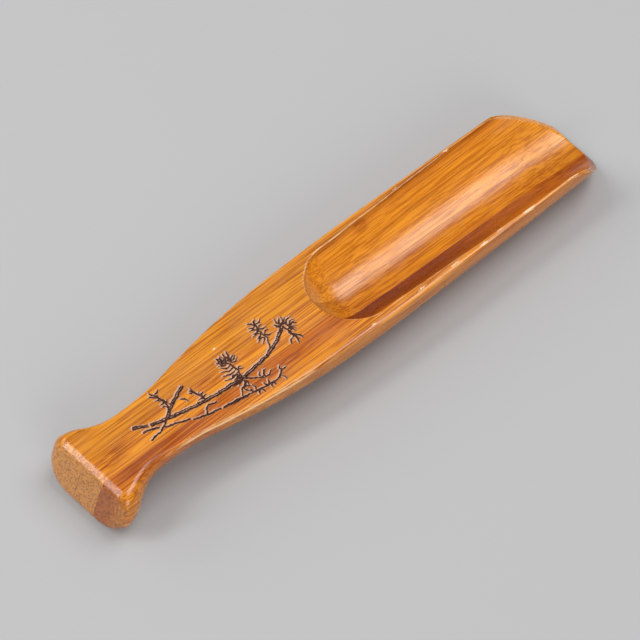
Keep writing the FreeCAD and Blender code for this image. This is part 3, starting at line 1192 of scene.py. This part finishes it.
    def bend(self, points: Array, width: int) -> Array:
        """Marks how sharply each point's ring bends, for the pale line on the edges, which is wear and
        painted highlight.

        Args:
            points: The mesh's points, ring after ring, then those of the caps.
            width: How many points a ring has.

        Returns:
            A mark from 0 on the flat to 1 on a narrow edge, 0 on the caps.
        """
        rows = len(self.stations.places)
        rings = points[:rows * width].reshape(rows, width, 3)
        before = rings - np.roll(rings, self.bend_reach, axis=1)
        after = np.roll(rings, -self.bend_reach, axis=1) - rings
        lengths = np.linalg.norm(before, axis=2) * np.linalg.norm(after, axis=2) + NEARLY_ZERO
        turn = np.arccos(np.clip((before * after).sum(axis=2) / lengths, -1, 1))
        turn = turn / (np.sqrt(lengths) + self.bend_softening)
        marks = np.zeros(len(points))
        marks[:rows * width] = np.clip((turn - self.least_bend) / self.bend_span, 0, 1).ravel()
        return marks

    @staticmethod
    def volume(mesh: bpy.types.Mesh) -> float:
        """Gives a closed mesh's volume, below zero where its faces point inward.

        Args:
            mesh: The mesh to measure.

        Returns:
            The volume in cubic metres.
        """
        mesh.calc_loop_triangles()
        corners = np.empty(len(mesh.loop_triangles) * 3, np.int32)
        mesh.loop_triangles.foreach_get("vertices", corners)
        places = np.empty(len(mesh.vertices) * 3, np.float32)
        mesh.vertices.foreach_get("co", places)
        a, b, c = places.reshape(-1, 3).astype(float)[corners.reshape(-1, 3)].transpose(1, 0, 2)
        return float(np.einsum("ij,ij->i", a, np.cross(b, c)).sum() / 6)


# Finishes


@dataclass(frozen=True)
class Noise:
    """Scale, detail and roughness of one noise texture."""

    scale: float
    detail: float
    roughness: float = 0.5


class Sheet:
    """Writes shader nodes into one node tree."""

    def __init__(self, tree: bpy.types.NodeTree) -> None:
        """Keeps the tree."""
        self.tree = tree

    def put(self, socket: bpy.types.NodeSocket, value: object) -> None:
        """Links a socket to another, or sets its plain value.

        Args:
            socket: The input to set.
            value: A socket to link from, or a plain value.
        """
        if isinstance(value, bpy.types.NodeSocket):
            self.tree.links.new(value, socket)
        else:
            socket.default_value = value

    def node(self, kind: str, settings: dict | None = None, **inputs: object) -> bpy.types.Node:
        """Adds a node.

        Args:
            kind: The node's type without its common first part.
            settings: Properties to set on the node.
            inputs: Values or sockets by input name, with _ for a space.

        Returns:
            The new node.
        """
        node = self.tree.nodes.new("ShaderNode" + kind)
        for name, value in (settings or {}).items():
            setattr(node, name, value)
        for name, value in inputs.items():
            self.put(node.inputs[name.replace("_", " ")], value)
        return node

    def math(self, operation: str, first: object, second: object = 0.0, clamp: bool = False) -> object:
        """Adds a sum of two values and gives its output.

        Args:
            operation: The node's operation.
            first: The first value or socket.
            second: The second value or socket.
            clamp: Whether the result is kept between 0 and 1.

        Returns:
            The node's output.
        """
        node = self.node("Math", {"operation": operation, "use_clamp": clamp})
        self.put(node.inputs[0], first)
        self.put(node.inputs[1], second)
        return node.outputs[0]

    def times(self, first: object, second: object) -> object:
        """Gives the product of two values."""
        return self.math("MULTIPLY", first, second)

    def plus(self, first: object, second: object, clamp: bool = False) -> object:
        """Gives the sum of two values."""
        return self.math("ADD", first, second, clamp)

    def minus(self, first: object, second: object) -> object:
        """Gives the first value less the second."""
        return self.math("SUBTRACT", first, second)

    def vector(self, operation: str, first: object, second: object) -> object:
        """Adds a sum of two vectors and gives its output.

        Args:
            operation: The node's operation.
            first: The first vector or socket.
            second: The second vector or socket.

        Returns:
            The node's output.
        """
        node = self.node("VectorMath", {"operation": operation})
        self.put(node.inputs[0], first)
        self.put(node.inputs[1], second)
        return node.outputs[0]

    def between(self, value: object, low: object, high: object) -> object:
        """Gives 0 below the low mark, 1 above the high one and a smooth step between.

        Args:
            value: The value to read.
            low: The mark for 0.
            high: The mark for 1.

        Returns:
            The step's output.
        """
        node = self.node("MapRange", {"interpolation_type": "SMOOTHSTEP"}, Value=value)
        self.put(node.inputs["From Min"], low)
        self.put(node.inputs["From Max"], high)
        return node.outputs["Result"]

    def noise(self, where: object, noise: Noise, stretch: tuple | None = None) -> object:
        """Adds plain noise, drawn out first where a stretch is given, and gives its value.

        Args:
            where: The place to read the noise at.
            noise: The noise's settings.
            stretch: Factors on the place, or nothing.

        Returns:
            The noise's value.
        """
        where = self.vector("MULTIPLY", where, stretch) if stretch else where
        node = self.node("TexNoise", Vector=where, Scale=noise.scale, Detail=noise.detail,
                         Roughness=noise.roughness)
        return node.outputs["Fac"]

    def cells(self, where: object, scale: object) -> object:
        """Adds scattered cells and gives the distance from each one's middle."""
        return self.node("TexVoronoi", Vector=where, Scale=scale).outputs["Distance"]

    def mark(self, name: str) -> object:
        """Reads one of the marks that the mesh carries."""
        return self.node("Attribute", {"attribute_name": name}).outputs["Fac"]

    def tinted(self, colour: object, tint: object) -> object:
        """Multiplies a colour by a tint."""
        return self.mix(1.0, colour, tint, "MULTIPLY")

    def mix(self, share: object, first: object, second: object, kind: str = "MIX") -> object:
        """Mixes two colours and gives the result.

        Args:
            share: How much of the second colour shows.
            first: The colour below.
            second: The colour above.
            kind: The way they blend.

        Returns:
            The mixed colour.
        """
        node = self.node("Mix", {"data_type": "RGBA", "blend_type": kind, "clamp_result": False})
        self.put(node.inputs["Factor"], share)
        first_colour, second_colour = [socket for socket in node.inputs if socket.type == "RGBA"]
        self.put(first_colour, first)
        self.put(second_colour, second)
        return next(socket for socket in node.outputs if socket.type == "RGBA")


class EffectGroup:
    """A shader node group with named inputs and outputs."""

    def __init__(self, name: str, inputs: dict[str, tuple[str, object]], outputs: dict[str, str]) -> None:
        """Makes the empty group.

        Args:
            name: The group's name.
            inputs: For each input its kind and its usual value.
            outputs: For each output its kind.
        """
        self.tree = bpy.data.node_groups.new(name, "ShaderNodeTree")
        for label, (kind, value) in inputs.items():
            socket = self.tree.interface.new_socket(label, in_out="INPUT", socket_type="NodeSocket" + kind)
            socket.default_value = value
        for label, kind in outputs.items():
            self.tree.interface.new_socket(label, in_out="OUTPUT", socket_type="NodeSocket" + kind)
        self.sheet = Sheet(self.tree)
        self.given = self.tree.nodes.new("NodeGroupInput").outputs
        self.result = self.tree.nodes.new("NodeGroupOutput").inputs

    def use(self, sheet: Sheet, **inputs: object) -> bpy.types.Node:
        """Puts the group into a sheet and gives its node.

        Args:
            sheet: The sheet to write on.
            inputs: Values or sockets by input name, with _ for a space.

        Returns:
            The group's node.
        """
        node = sheet.tree.nodes.new("ShaderNodeGroup")
        node.node_tree = self.tree
        for name, value in inputs.items():
            sheet.put(node.inputs[name.replace("_", " ")], value)
        return node


# Inputs of the effects that paint over a colour
PAINTED_INPUTS = {"Colour": ("Color", (1, 1, 1, 1)), "Place": ("Vector", (0, 0, 0))}


@dataclass(frozen=True)
class GrainEffect:
    """Long fibres and bundles that run along the scoop and show as dots on its end."""

    draw_out: float = 0.016
    sway_scale: tuple = (0.022, 0.16, 0.16)
    sway_noise: Noise = Noise(1.0, 1.0)
    wander: float = 0.7
    fine: Noise = Noise(2.7, 3.0, 0.6)
    fine_share: float = 0.78
    coarser: float = 2.2
    coarse_detail: float = 2.0
    fibre_marks: tuple = (0.42, 0.56)
    ragged: Noise = Noise(6.0, 2.0)
    ragged_share: float = 0.12
    bundle_dark: float = 0.10
    bundle_clear: float = 0.30
    dot_scale: float = 1.65
    dot_dark: float = 0.34
    dot_clear: float = 0.54
    band: Noise = Noise(0.42, 2.0)
    band_marks: tuple = (0.34, 0.66)
    end_marks: tuple = (0.45, 0.80)

    def build(self) -> EffectGroup:
        """Makes the group with its place in millimetres and its grain masks.

        Returns:
            The group.
        """
        group = EffectGroup("bamboo_grain", {"Shift": ("Float", 0.0), "Bundle Scale": ("Float", 1.1)},
                            {"Place": "Vector", "Fibre": "Float", "Bundle": "Float", "Band": "Float",
                             "End": "Float"})
        sheet, given, result = group.sheet, group.given, group.result
        coordinates = sheet.node("TexCoord").outputs
        place = sheet.vector("MULTIPLY", coordinates["Object"], (1 / MM, 1 / MM, 1 / MM))
        slow = sheet.vector("MULTIPLY", place, self.sway_scale)
        sway = sheet.node("TexNoise", Vector=slow, Scale=self.sway_noise.scale,
                          Detail=self.sway_noise.detail).outputs["Color"]
        sway = sheet.vector("SUBTRACT", sway, (MIDDLE_GREY, MIDDLE_GREY, MIDDLE_GREY))
        sway = sheet.vector("MULTIPLY", sway, (0.0, self.wander, self.wander))
        shift = sheet.node("CombineXYZ", X=given["Shift"], Y=given["Shift"], Z=given["Shift"]).outputs[0]
        drawn = sheet.vector("MULTIPLY", place, (self.draw_out, 1.0, 1.0))
        drawn = sheet.vector("ADD", sheet.vector("ADD", drawn, sway), shift)
        fine = sheet.noise(drawn, self.fine)
        coarse = sheet.noise(drawn, Noise(self.fine.scale / self.coarser, self.coarse_detail))
        fibre = sheet.plus(sheet.times(fine, self.fine_share), sheet.times(coarse, 1 - self.fine_share))
        bundle = sheet.cells(drawn, given["Bundle Scale"])
        ragged = sheet.times(sheet.noise(drawn, self.ragged), self.ragged_share)
        band = sheet.noise(drawn, self.band)
        across = sheet.node("SeparateXYZ", Vector=coordinates["Normal"]).outputs["X"]
        end = sheet.between(sheet.math("ABSOLUTE", across), *self.end_marks)
        bundle = sheet.between(sheet.plus(bundle, ragged), self.bundle_clear, self.bundle_dark)
        dots = sheet.plus(sheet.cells(drawn, self.dot_scale), ragged)
        dots = sheet.times(sheet.between(dots, self.dot_clear, self.dot_dark), end)
        bundle = sheet.times(bundle, sheet.minus(1.0, end))
        bundle = sheet.plus(bundle, dots)
        sheet.put(result["Place"], place)
        sheet.put(result["Fibre"], sheet.between(fibre, *self.fibre_marks))
        sheet.put(result["Bundle"], bundle)
        sheet.put(result["Band"], sheet.between(band, *self.band_marks))
        sheet.put(result["End"], end)
        return group


@dataclass(frozen=True)
class CarvingEffect:
    """Burnt colour inside the carved cuts, a pale scorch halo beside them and a painted highlight on one side
    of each cut.
    """

    char: tuple = (0.024, 0.004, 0.002, 1.0)
    ember: tuple = (0.148, 0.036, 0.012, 1.0)
    halo: tuple = (0.34, 0.125, 0.045, 1.0)
    halo_share: float = 0.55
    # Colour of the painted highlight on one side of each cut
    cut_highlight: tuple = (0.64, 0.36, 0.23, 1.0)
    highlight_share: float = 0.80
    speck: Noise = Noise(2.4, 4.0, 0.75)
    speck_share: float = 0.9
    speck_shift: float = 0.45
    highlight_speck_share: float = 0.7
    halo_marks: tuple = (0.05, 0.40)
    cut_marks: tuple = (0.70, 0.92)
    highlight_marks: tuple = (0.42, 0.80)
    char_marks: tuple = (0.36, 0.58)

    def build(self) -> EffectGroup:
        """Makes the group that lays the burnt colour and the painted highlight beside the cuts over another.

        Returns:
            The group.
        """
        group = EffectGroup("burnt_carving", PAINTED_INPUTS, {"Colour": "Color", "Burn": "Float"})
        sheet, given, result = group.sheet, group.given, group.result
        mark = sheet.mark("burn")
        speck = sheet.noise(given["Place"], self.speck)
        ragged = sheet.plus(mark, sheet.times(speck, self.speck_share))
        ragged = sheet.minus(ragged, self.speck_shift)
        near = sheet.between(ragged, *self.halo_marks)
        inside = sheet.between(ragged, *self.cut_marks)
        # Painted highlight on one side of each cut, broken up by the specks
        painted_highlight = sheet.mark("cut_highlight")
        painted_highlight = sheet.plus(painted_highlight, sheet.times(sheet.minus(speck, MIDDLE_GREY), self.highlight_speck_share))
        painted_highlight = sheet.times(sheet.between(painted_highlight, *self.highlight_marks), self.highlight_share)
        scorch_and_highlight = sheet.mix(sheet.times(near, self.halo_share), given["Colour"], self.halo)
        scorch_and_highlight = sheet.mix(painted_highlight, scorch_and_highlight, self.cut_highlight)
        burnt = sheet.mix(sheet.between(speck, *self.char_marks), self.ember, self.char)
        sheet.put(result["Colour"], sheet.mix(inside, scorch_and_highlight, burnt))
        sheet.put(result["Burn"], inside)
        return group


@dataclass(frozen=True)
class WearEffect:
    """Pale edges that are rubbed wear and painted highlight, small chips where the lacquer has gone, and
    stains.
    """

    # Pale colour of the edges, both rubbed wear and painted highlight
    pale: tuple = (0.92, 0.56, 0.27, 1.0)
    bare: tuple = (0.90, 0.62, 0.38, 1.0)
    stained: tuple = (0.62, 0.46, 0.36, 1.0)
    line_share: float = 0.70
    rub_and_highlight: Noise = Noise(0.55, 3.0, 0.6)
    rub_stretch: tuple = (0.30, 1.0, 1.0)
    rub_marks: tuple = (0.36, 0.62)
    # Where the edge mark passes these, the painted highlight band shows unbroken
    band_marks: tuple = (0.8, 1.5)
    line_marks: tuple = (0.25, 0.95)
    flecks: Noise = Noise(3.1, 4.0, 0.7)
    fleck_stretch: tuple = (0.5, 1.0, 1.0)
    chip_share: float = 0.45
    chip_marks: tuple = (0.77, 0.87)
    spot_marks: tuple = (0.02, 0.25)
    streaks: Noise = Noise(1.6, 3.0, 0.6)
    streak_stretch: tuple = (0.10, 1.0, 1.0)
    streak_marks: tuple = (0.36, 0.60)

    def build(self) -> EffectGroup:
        """Makes the group that lays pale edges (rubbed wear and painted highlight), chips and stains into a
        colour.

        Returns:
            The group.
        """
        group = EffectGroup("edge_wear", PAINTED_INPUTS, {"Colour": "Color", "Chip": "Float"})
        sheet, given, result = group.sheet, group.given, group.result
        edge = sheet.mark("edge")
        spot = sheet.mark("chip")
        rub_and_highlight = sheet.noise(given["Place"], self.rub_and_highlight, self.rub_stretch)
        rub_and_highlight = sheet.times(sheet.between(rub_and_highlight, *self.rub_marks), self.line_share)
        # A strong edge mark is the painted highlight band: it shows unbroken
        rub_and_highlight = sheet.math("MAXIMUM", rub_and_highlight, sheet.between(edge, *self.band_marks))
        line = sheet.times(sheet.between(edge, *self.line_marks), rub_and_highlight)
        flecks = sheet.noise(given["Place"], self.flecks, self.fleck_stretch)
        chip = sheet.between(sheet.plus(sheet.times(spot, self.chip_share), flecks), *self.chip_marks)
        chip = sheet.times(chip, sheet.between(spot, *self.spot_marks))
        stain = sheet.mark("stain")
        streaks = sheet.noise(given["Place"], self.streaks, self.streak_stretch)
        stain = sheet.times(sheet.between(stain, 0.0, 1.0), sheet.between(streaks, *self.streak_marks))
        colour = sheet.mix(stain, given["Colour"], sheet.tinted(given["Colour"], self.stained))
        # Pale line: rubbed edge wear and painted highlight
        colour = sheet.mix(line, colour, self.pale)
        sheet.put(result["Colour"], sheet.mix(chip, colour, self.bare))
        sheet.put(result["Chip"], chip)
        return group


@dataclass(frozen=True)
class LacquerEffect:
    """Unevenness of the thin lacquer: slow waves, pores along the grain and rubbed patches."""

    cloud: Noise = Noise(0.16, 3.0, 0.6)
    cloud_change: float = 0.30
    bundle_change: float = 0.08
    grit: Noise = Noise(4.5, 2.0, 0.6)
    grit_height: float = 0.12
    fibre_height: float = 0.5
    bundle_height: float = -0.6
    relief_share: float = 0.14
    relief: float = 0.06

    def build(self) -> EffectGroup:
        """Makes the group with the lacquer's roughness and relief.

        Returns:
            The group.
        """
        group = EffectGroup("lacquer_unevenness", {"Place": ("Vector", (0, 0, 0)), "Fibre": ("Float", 0.5),
                                                   "Bundle": ("Float", 0.0), "Roughness": ("Float", 0.3)},
                            {"Roughness": "Float", "Normal": "Vector"})
        sheet, given, result = group.sheet, group.given, group.result
        cloud = sheet.noise(given["Place"], self.cloud)
        grit = sheet.noise(given["Place"], self.grit)
        height = sheet.plus(sheet.times(given["Fibre"], self.fibre_height),
                            sheet.times(given["Bundle"], self.bundle_height))
        height = sheet.plus(height, sheet.times(grit, self.grit_height))
        bump = sheet.node("Bump", Strength=self.relief_share, Distance=self.relief * MM, Height=height)
        change = sheet.times(sheet.minus(cloud, MIDDLE_GREY), self.cloud_change)
        change = sheet.plus(change, sheet.times(given["Bundle"], self.bundle_change))
        sheet.put(result["Roughness"], sheet.plus(given["Roughness"], change, True))
        sheet.put(result["Normal"], bump.outputs["Normal"])
        return group


@dataclass(frozen=True)
class Effects:
    """The shared effects of all the finishes."""

    grain: EffectGroup
    carving: EffectGroup
    wear: EffectGroup
    lacquer: EffectGroup

    @classmethod
    def build(cls) -> "Effects":
        """Makes every group once."""
        return cls(grain=GrainEffect().build(), carving=CarvingEffect().build(),
                   wear=WearEffect().build(), lacquer=LacquerEffect().build())


def new_material(name: str) -> tuple[bpy.types.Material, Sheet, bpy.types.Node]:
    """Makes a material and gives it with its sheet and its shader.

    Args:
        name: The material's name.

    Returns:
        The material, the sheet that writes its nodes and its shader node.
    """
    material = bpy.data.materials.new(name)
    material.use_nodes = True
    return material, Sheet(material.node_tree), material.node_tree.nodes["Principled BSDF"]


@dataclass(frozen=True)
class BambooFinish:
    """Warm lacquered bamboo of one strip, its places in millimetres from the frame's middle."""

    name: str
    light: tuple
    dark: tuple
    bundle: tuple
    end_ground: tuple
    shift: float
    bundle_scale: float
    seam_tint: tuple | None = None
    # Painted light: the strip is lightened inside the trough, standing for the light on the trough's far wall
    trough_painted_light: tuple | None = None
    band_dark: tuple = (0.90, 0.85, 0.80, 1.0)
    band_light: tuple = (1.06, 1.08, 1.10, 1.0)
    bundle_share: float = 0.78
    end_bundle_loss: float = 0.16
    end_fibre_share: float = 0.35
    end_share: float = 0.8
    trough_top: float = 14.2
    trough_full: float = 12.6
    trough_edge: float = 13.4
    trough_edge_blend: float = 0.6
    trough_end_blend: float = 4.0
    trough_calm: float = 0.22
    seam_start: float = -7.4
    seam_end: float = -10.6
    seam_wave: float = 1.2
    core_tint: tuple = (0.36, 0.155, 0.10, 1.0)
    core_top: float = 10.6
    core_full: float = 8.4
    core_start: float = -14.0
    core_blend: float = 10.0
    core_fade: float = 0.62
    core_fade_start: float = 20.0
    core_fade_end: float = 62.0
    core_least_up: float = 0.0
    core_full_up: float = 0.15
    roughness: float = 0.27
    bare_roughness: float = 0.73
    shine: float = 0.78

    def darkened_seam(self, sheet: Sheet, colour: object, grain: object) -> object:
        """Darkens the strip beside its glue line, most in its core where the trough cuts into it.

        Args:
            sheet: The sheet to write on.
            colour: The strip's colour so far.
            grain: The outputs of the grain group.

        Returns:
            The darkened colour.
        """
        parts = sheet.node("SeparateXYZ", Vector=grain["Place"]).outputs
        wavy = sheet.plus(parts["Y"], sheet.times(grain["Band"], self.seam_wave))
        near = sheet.between(wavy, self.seam_end, self.seam_start)
        colour = sheet.mix(near, colour, sheet.tinted(colour, self.seam_tint))
        low = sheet.between(parts["Z"], self.core_top, self.core_full)
        along = sheet.between(parts["X"], self.core_fade_start, self.core_fade_end)
        fade = sheet.times(self.core_fade, along)
        begun = sheet.between(parts["X"], self.core_start, self.core_start + self.core_blend)
        facing = sheet.node("SeparateXYZ", Vector=sheet.node("TexCoord").outputs["Normal"]).outputs["Z"]
        begun = sheet.times(begun, sheet.between(facing, self.core_least_up, self.core_full_up))
        core = sheet.times(sheet.times(low, begun), sheet.minus(1.0, fade))
        return sheet.mix(core, colour, sheet.tinted(colour, self.core_tint))

    def trough_mask(self, sheet: Sheet, parts: object) -> object:
        """Masks the inside of the trough by place, given the three parts of the place.

        Args:
            sheet: The sheet to write on.
            parts: The outputs of the place's three parts.

        Returns:
            A mask that is 1 inside the trough.
        """
        inner = sheet.between(parts["Z"], self.trough_top, self.trough_full)
        outside = self.trough_edge + self.trough_edge_blend
        inner = sheet.times(inner, sheet.between(parts["Y"], outside, self.trough_edge))
        begun = sheet.between(parts["X"], self.core_start, self.core_start + self.trough_end_blend)
        return sheet.times(inner, begun)

    def build(self, effects: Effects) -> bpy.types.Material:
        """Makes the material.

        Args:
            effects: The shared node groups.

        Returns:
            The material.
        """
        material, sheet, shader = new_material(self.name)
        grain = effects.grain.use(sheet, Shift=self.shift, Bundle_Scale=self.bundle_scale).outputs
        inner = self.trough_mask(sheet, sheet.node("SeparateXYZ", Vector=grain["Place"]).outputs)
        calm = sheet.times(inner, self.trough_calm)
        offset = sheet.times(sheet.minus(grain["Fibre"], MIDDLE_GREY), calm)
        colour = sheet.mix(sheet.minus(grain["Fibre"], offset), self.dark, self.light)
        tint = sheet.mix(grain["Band"], self.band_dark, self.band_light)
        colour = sheet.tinted(colour, tint)
        ground = sheet.mix(sheet.times(grain["Fibre"], self.end_fibre_share), self.end_ground, self.light)
        colour = sheet.mix(sheet.times(grain["End"], self.end_share), colour, ground)
        shown = sheet.minus(self.bundle_share, sheet.times(grain["End"], self.end_bundle_loss))
        shown = sheet.times(shown, sheet.minus(1.0, calm))
        colour = sheet.mix(sheet.times(grain["Bundle"], shown), colour, self.bundle)
        if self.seam_tint:
            colour = self.darkened_seam(sheet, colour, grain)
        # Painted light inside the trough
        if self.trough_painted_light:
            colour = sheet.mix(inner, colour, sheet.tinted(colour, self.trough_painted_light))
        worn = effects.wear.use(sheet, Colour=colour, Place=grain["Place"]).outputs
        carved = effects.carving.use(sheet, Colour=worn["Colour"], Place=grain["Place"]).outputs
        lacquer = effects.lacquer.use(sheet, Place=grain["Place"], Fibre=grain["Fibre"],
                                      Bundle=grain["Bundle"], Roughness=self.roughness).outputs
        bare = sheet.math("MAXIMUM", carved["Burn"], worn["Chip"])
        rough = sheet.plus(lacquer["Roughness"], sheet.times(bare, self.bare_roughness), True)
        sheet.put(shader.inputs["Base Color"], carved["Colour"])
        sheet.put(shader.inputs["Roughness"], rough)
        sheet.put(shader.inputs["Normal"], lacquer["Normal"])
        shader.inputs["Specular IOR Level"].default_value = self.shine
        return material


@dataclass(frozen=True)
class GlueFinish:
    """Thin dark line of glue between two strips."""

    colour: tuple = (0.34, 0.100, 0.010, 1.0)
    pale: tuple = (0.46, 0.150, 0.014, 1.0)
    end_ground: tuple = (0.44, 0.20, 0.062, 1.0)
    end_share: float = 0.8
    shift: float = 7.0
    bundle_scale: float = 1.0
    roughness: float = 0.35

    def build(self, effects: Effects) -> bpy.types.Material:
        """Makes the material.

        Args:
            effects: The shared node groups.

        Returns:
            The material.
        """
        material, sheet, shader = new_material("glue_line")
        grain = effects.grain.use(sheet, Shift=self.shift, Bundle_Scale=self.bundle_scale).outputs
        colour = sheet.mix(grain["Band"], self.colour, self.pale)
        colour = sheet.mix(sheet.times(grain["End"], self.end_share), colour, self.end_ground)
        carved = effects.carving.use(sheet, Colour=colour, Place=grain["Place"]).outputs
        lacquer = effects.lacquer.use(sheet, Place=grain["Place"], Fibre=grain["Fibre"],
                                      Roughness=self.roughness).outputs
        sheet.put(shader.inputs["Base Color"], carved["Colour"])
        sheet.put(shader.inputs["Roughness"], lacquer["Roughness"])
        sheet.put(shader.inputs["Normal"], lacquer["Normal"])
        return material


def strip_finishes(effects: Effects) -> dict[str, bpy.types.Material]:
    """Makes the finish of every material slot.

    Args:
        effects: The shared node groups.

    Returns:
        Materials by slot.
    """
    # The left strip is lightened inside the trough: painted light on the far wall
    left = BambooFinish(
        "left_bamboo", light=(0.76, 0.280, 0.014, 1.0), dark=(0.44, 0.124, 0.004, 1.0),
        bundle=(0.24, 0.048, 0.003, 1.0), end_ground=(0.52, 0.245, 0.080, 1.0),
        shift=0.0, bundle_scale=1.9, trough_painted_light=(1.36, 1.42, 1.80, 1.0))
    middle = BambooFinish(
        "middle_bamboo", light=(0.79, 0.282, 0.012, 1.0), dark=(0.44, 0.106, 0.004, 1.0),
        bundle=(0.21, 0.040, 0.003, 1.0), end_ground=(0.49, 0.235, 0.074, 1.0),
        shift=31.0, bundle_scale=2.2)
    right = BambooFinish(
        "right_bamboo", light=(0.79, 0.280, 0.012, 1.0), dark=(0.44, 0.108, 0.004, 1.0),
        bundle=(0.19, 0.034, 0.003, 1.0), end_ground=(0.36, 0.135, 0.040, 1.0),
        shift=57.0, bundle_scale=2.0, seam_tint=(0.76, 0.58, 0.50, 1.0))
    finishes = {finish.name: finish.build(effects) for finish in (left, middle, right)}
    finishes["glue"] = GlueFinish().build(effects)
    return finishes


# Studio


@dataclass(frozen=True)
class Lamp:
    """One soft rectangular lamp: where it stands, its size, its power and its turn in degrees."""

    name: str
    direction: tuple
    width: float
    height: float
    power: float
    roll: float = 0.0


@dataclass
class Studio:
    """Plain pale floor, soft lights and the camera at the photograph's angle."""

    azimuth: float = -41.1186
    elevation: float = 57.6406
    distance: float = 575.612
    target: tuple = (-6.7438, -0.6591, 7.5742)
    focal_pixels: float = 2320.5
    frame_pixels: float = 640.0
    sensor: float = 36.0
    nearest: float = 10.0
    farthest: float = 10000.0
    floor_size: float = 4000.0
    floor_colour: tuple = (0.462, 0.462, 0.467, 1.0)
    floor_roughness: float = 0.9
    floor_shine: float = 0.1
    lamp_distance: float = 900.0
    lamps: tuple[Lamp, ...] = (
        Lamp("main_softbox", (0.43, -0.07, 0.90), 540, 600, 3.8),
        Lamp("back_softbox", (-0.38, 0.80, 0.47), 700, 360, 1.2),
        Lamp("left_softbox", (-0.60, 0.403, 0.70), 180, 900, 3.6, 30.0),
        Lamp("front_softbox", (-0.40, -0.78, 0.47), 600, 400, 2.2),
    )
    world_strength: float = 0.38
    mirrored_world: float = 0.035

    def camera(self) -> None:
        """Sets up the camera where the photograph was taken from."""
        azimuth, elevation = math.radians(self.azimuth), math.radians(self.elevation)
        back = Vector((math.sin(azimuth) * math.cos(elevation),
                       -math.cos(azimuth) * math.cos(elevation), math.sin(elevation)))
        data = bpy.data.cameras.new("camera")
        data.sensor_width = self.sensor
        data.lens = self.focal_pixels / self.frame_pixels * self.sensor
        data.clip_start, data.clip_end = self.nearest * MM, self.farthest * MM
        camera = bpy.data.objects.new("camera", data)
        bpy.context.scene.collection.objects.link(camera)
        camera.rotation_mode = "QUATERNION"
        camera.location = (Vector(self.target) + back * self.distance) * MM
        right = Vector((math.cos(azimuth), math.sin(azimuth), 0))
        turn = Matrix((right, back.cross(right), back)).transposed()
        camera.rotation_quaternion = turn.to_quaternion()
        bpy.context.scene.camera = camera

    def floor(self) -> None:
        """Lays the pale floor under the scoop."""
        half = self.floor_size / 2 * MM
        mesh = bpy.data.meshes.new("floor")
        corners = [(-half, -half, 0), (half, -half, 0), (half, half, 0), (-half, half, 0)]
        mesh.from_pydata(corners, [], [(0, 1, 2, 3)])
        floor = bpy.data.objects.new("floor", mesh)
        bpy.context.scene.collection.objects.link(floor)
        material, _, shader = new_material("floor_paper")
        shader.inputs["Base Color"].default_value = self.floor_colour
        shader.inputs["Roughness"].default_value = self.floor_roughness
        shader.inputs["Specular IOR Level"].default_value = self.floor_shine
        mesh.materials.append(material)

    def hang(self, lamp: Lamp) -> None:
        """Hangs a lamp so that it looks at the scoop.

        Args:
            lamp: The lamp to hang.
        """
        data = bpy.data.lights.new(lamp.name, "AREA")
        data.shape = "RECTANGLE"
        data.size, data.size_y = lamp.width * MM, lamp.height * MM
        data.energy = lamp.power
        hung = bpy.data.objects.new(lamp.name, data)
        bpy.context.scene.collection.objects.link(hung)
        way = Vector(lamp.direction).normalized()
        hung.location = way * self.lamp_distance * MM
        hung.rotation_mode = "QUATERNION"
        roll = Quaternion((0, 0, 1), math.radians(lamp.roll))
        hung.rotation_quaternion = way.to_track_quat("Z", "Y") @ roll

    def build(self) -> None:
        """Sets up the whole studio."""
        scene = bpy.context.scene
        scene.view_settings.view_transform = "Standard"
        world = bpy.data.worlds.new("soft_room")
        world.use_nodes = True
        sheet = Sheet(world.node_tree)
        backdrop = world.node_tree.nodes["Background"]
        backdrop.inputs["Color"].default_value = (1.0, 1.0, 1.0, 1.0)
        mirrored = sheet.node("LightPath").outputs["Is Glossy Ray"]
        drop = sheet.times(mirrored, self.world_strength - self.mirrored_world)
        sheet.put(backdrop.inputs["Strength"], sheet.minus(self.world_strength, drop))
        scene.world = world
        self.floor()
        self.camera()
        for lamp in self.lamps:
            self.hang(lamp)
        LOG.info("studio ready")


def main() -> None:
    """Builds the scoop's pieces and the studio."""
    logging.basicConfig(level=logging.INFO, format="%(message)s")
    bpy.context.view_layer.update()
    body = ScoopBody()
    finishes = strip_finishes(Effects.build())
    for piece in body.pieces():
        thing = body.mesh(piece)
        thing.data.materials.append(finishes[piece.slot])
        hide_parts(piece.node)
        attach(thing, "root")
        LOG.info("%s: %d faces", piece.name, len(thing.data.polygons))
    Studio().build()


if __name__ == "__main__":
    main()
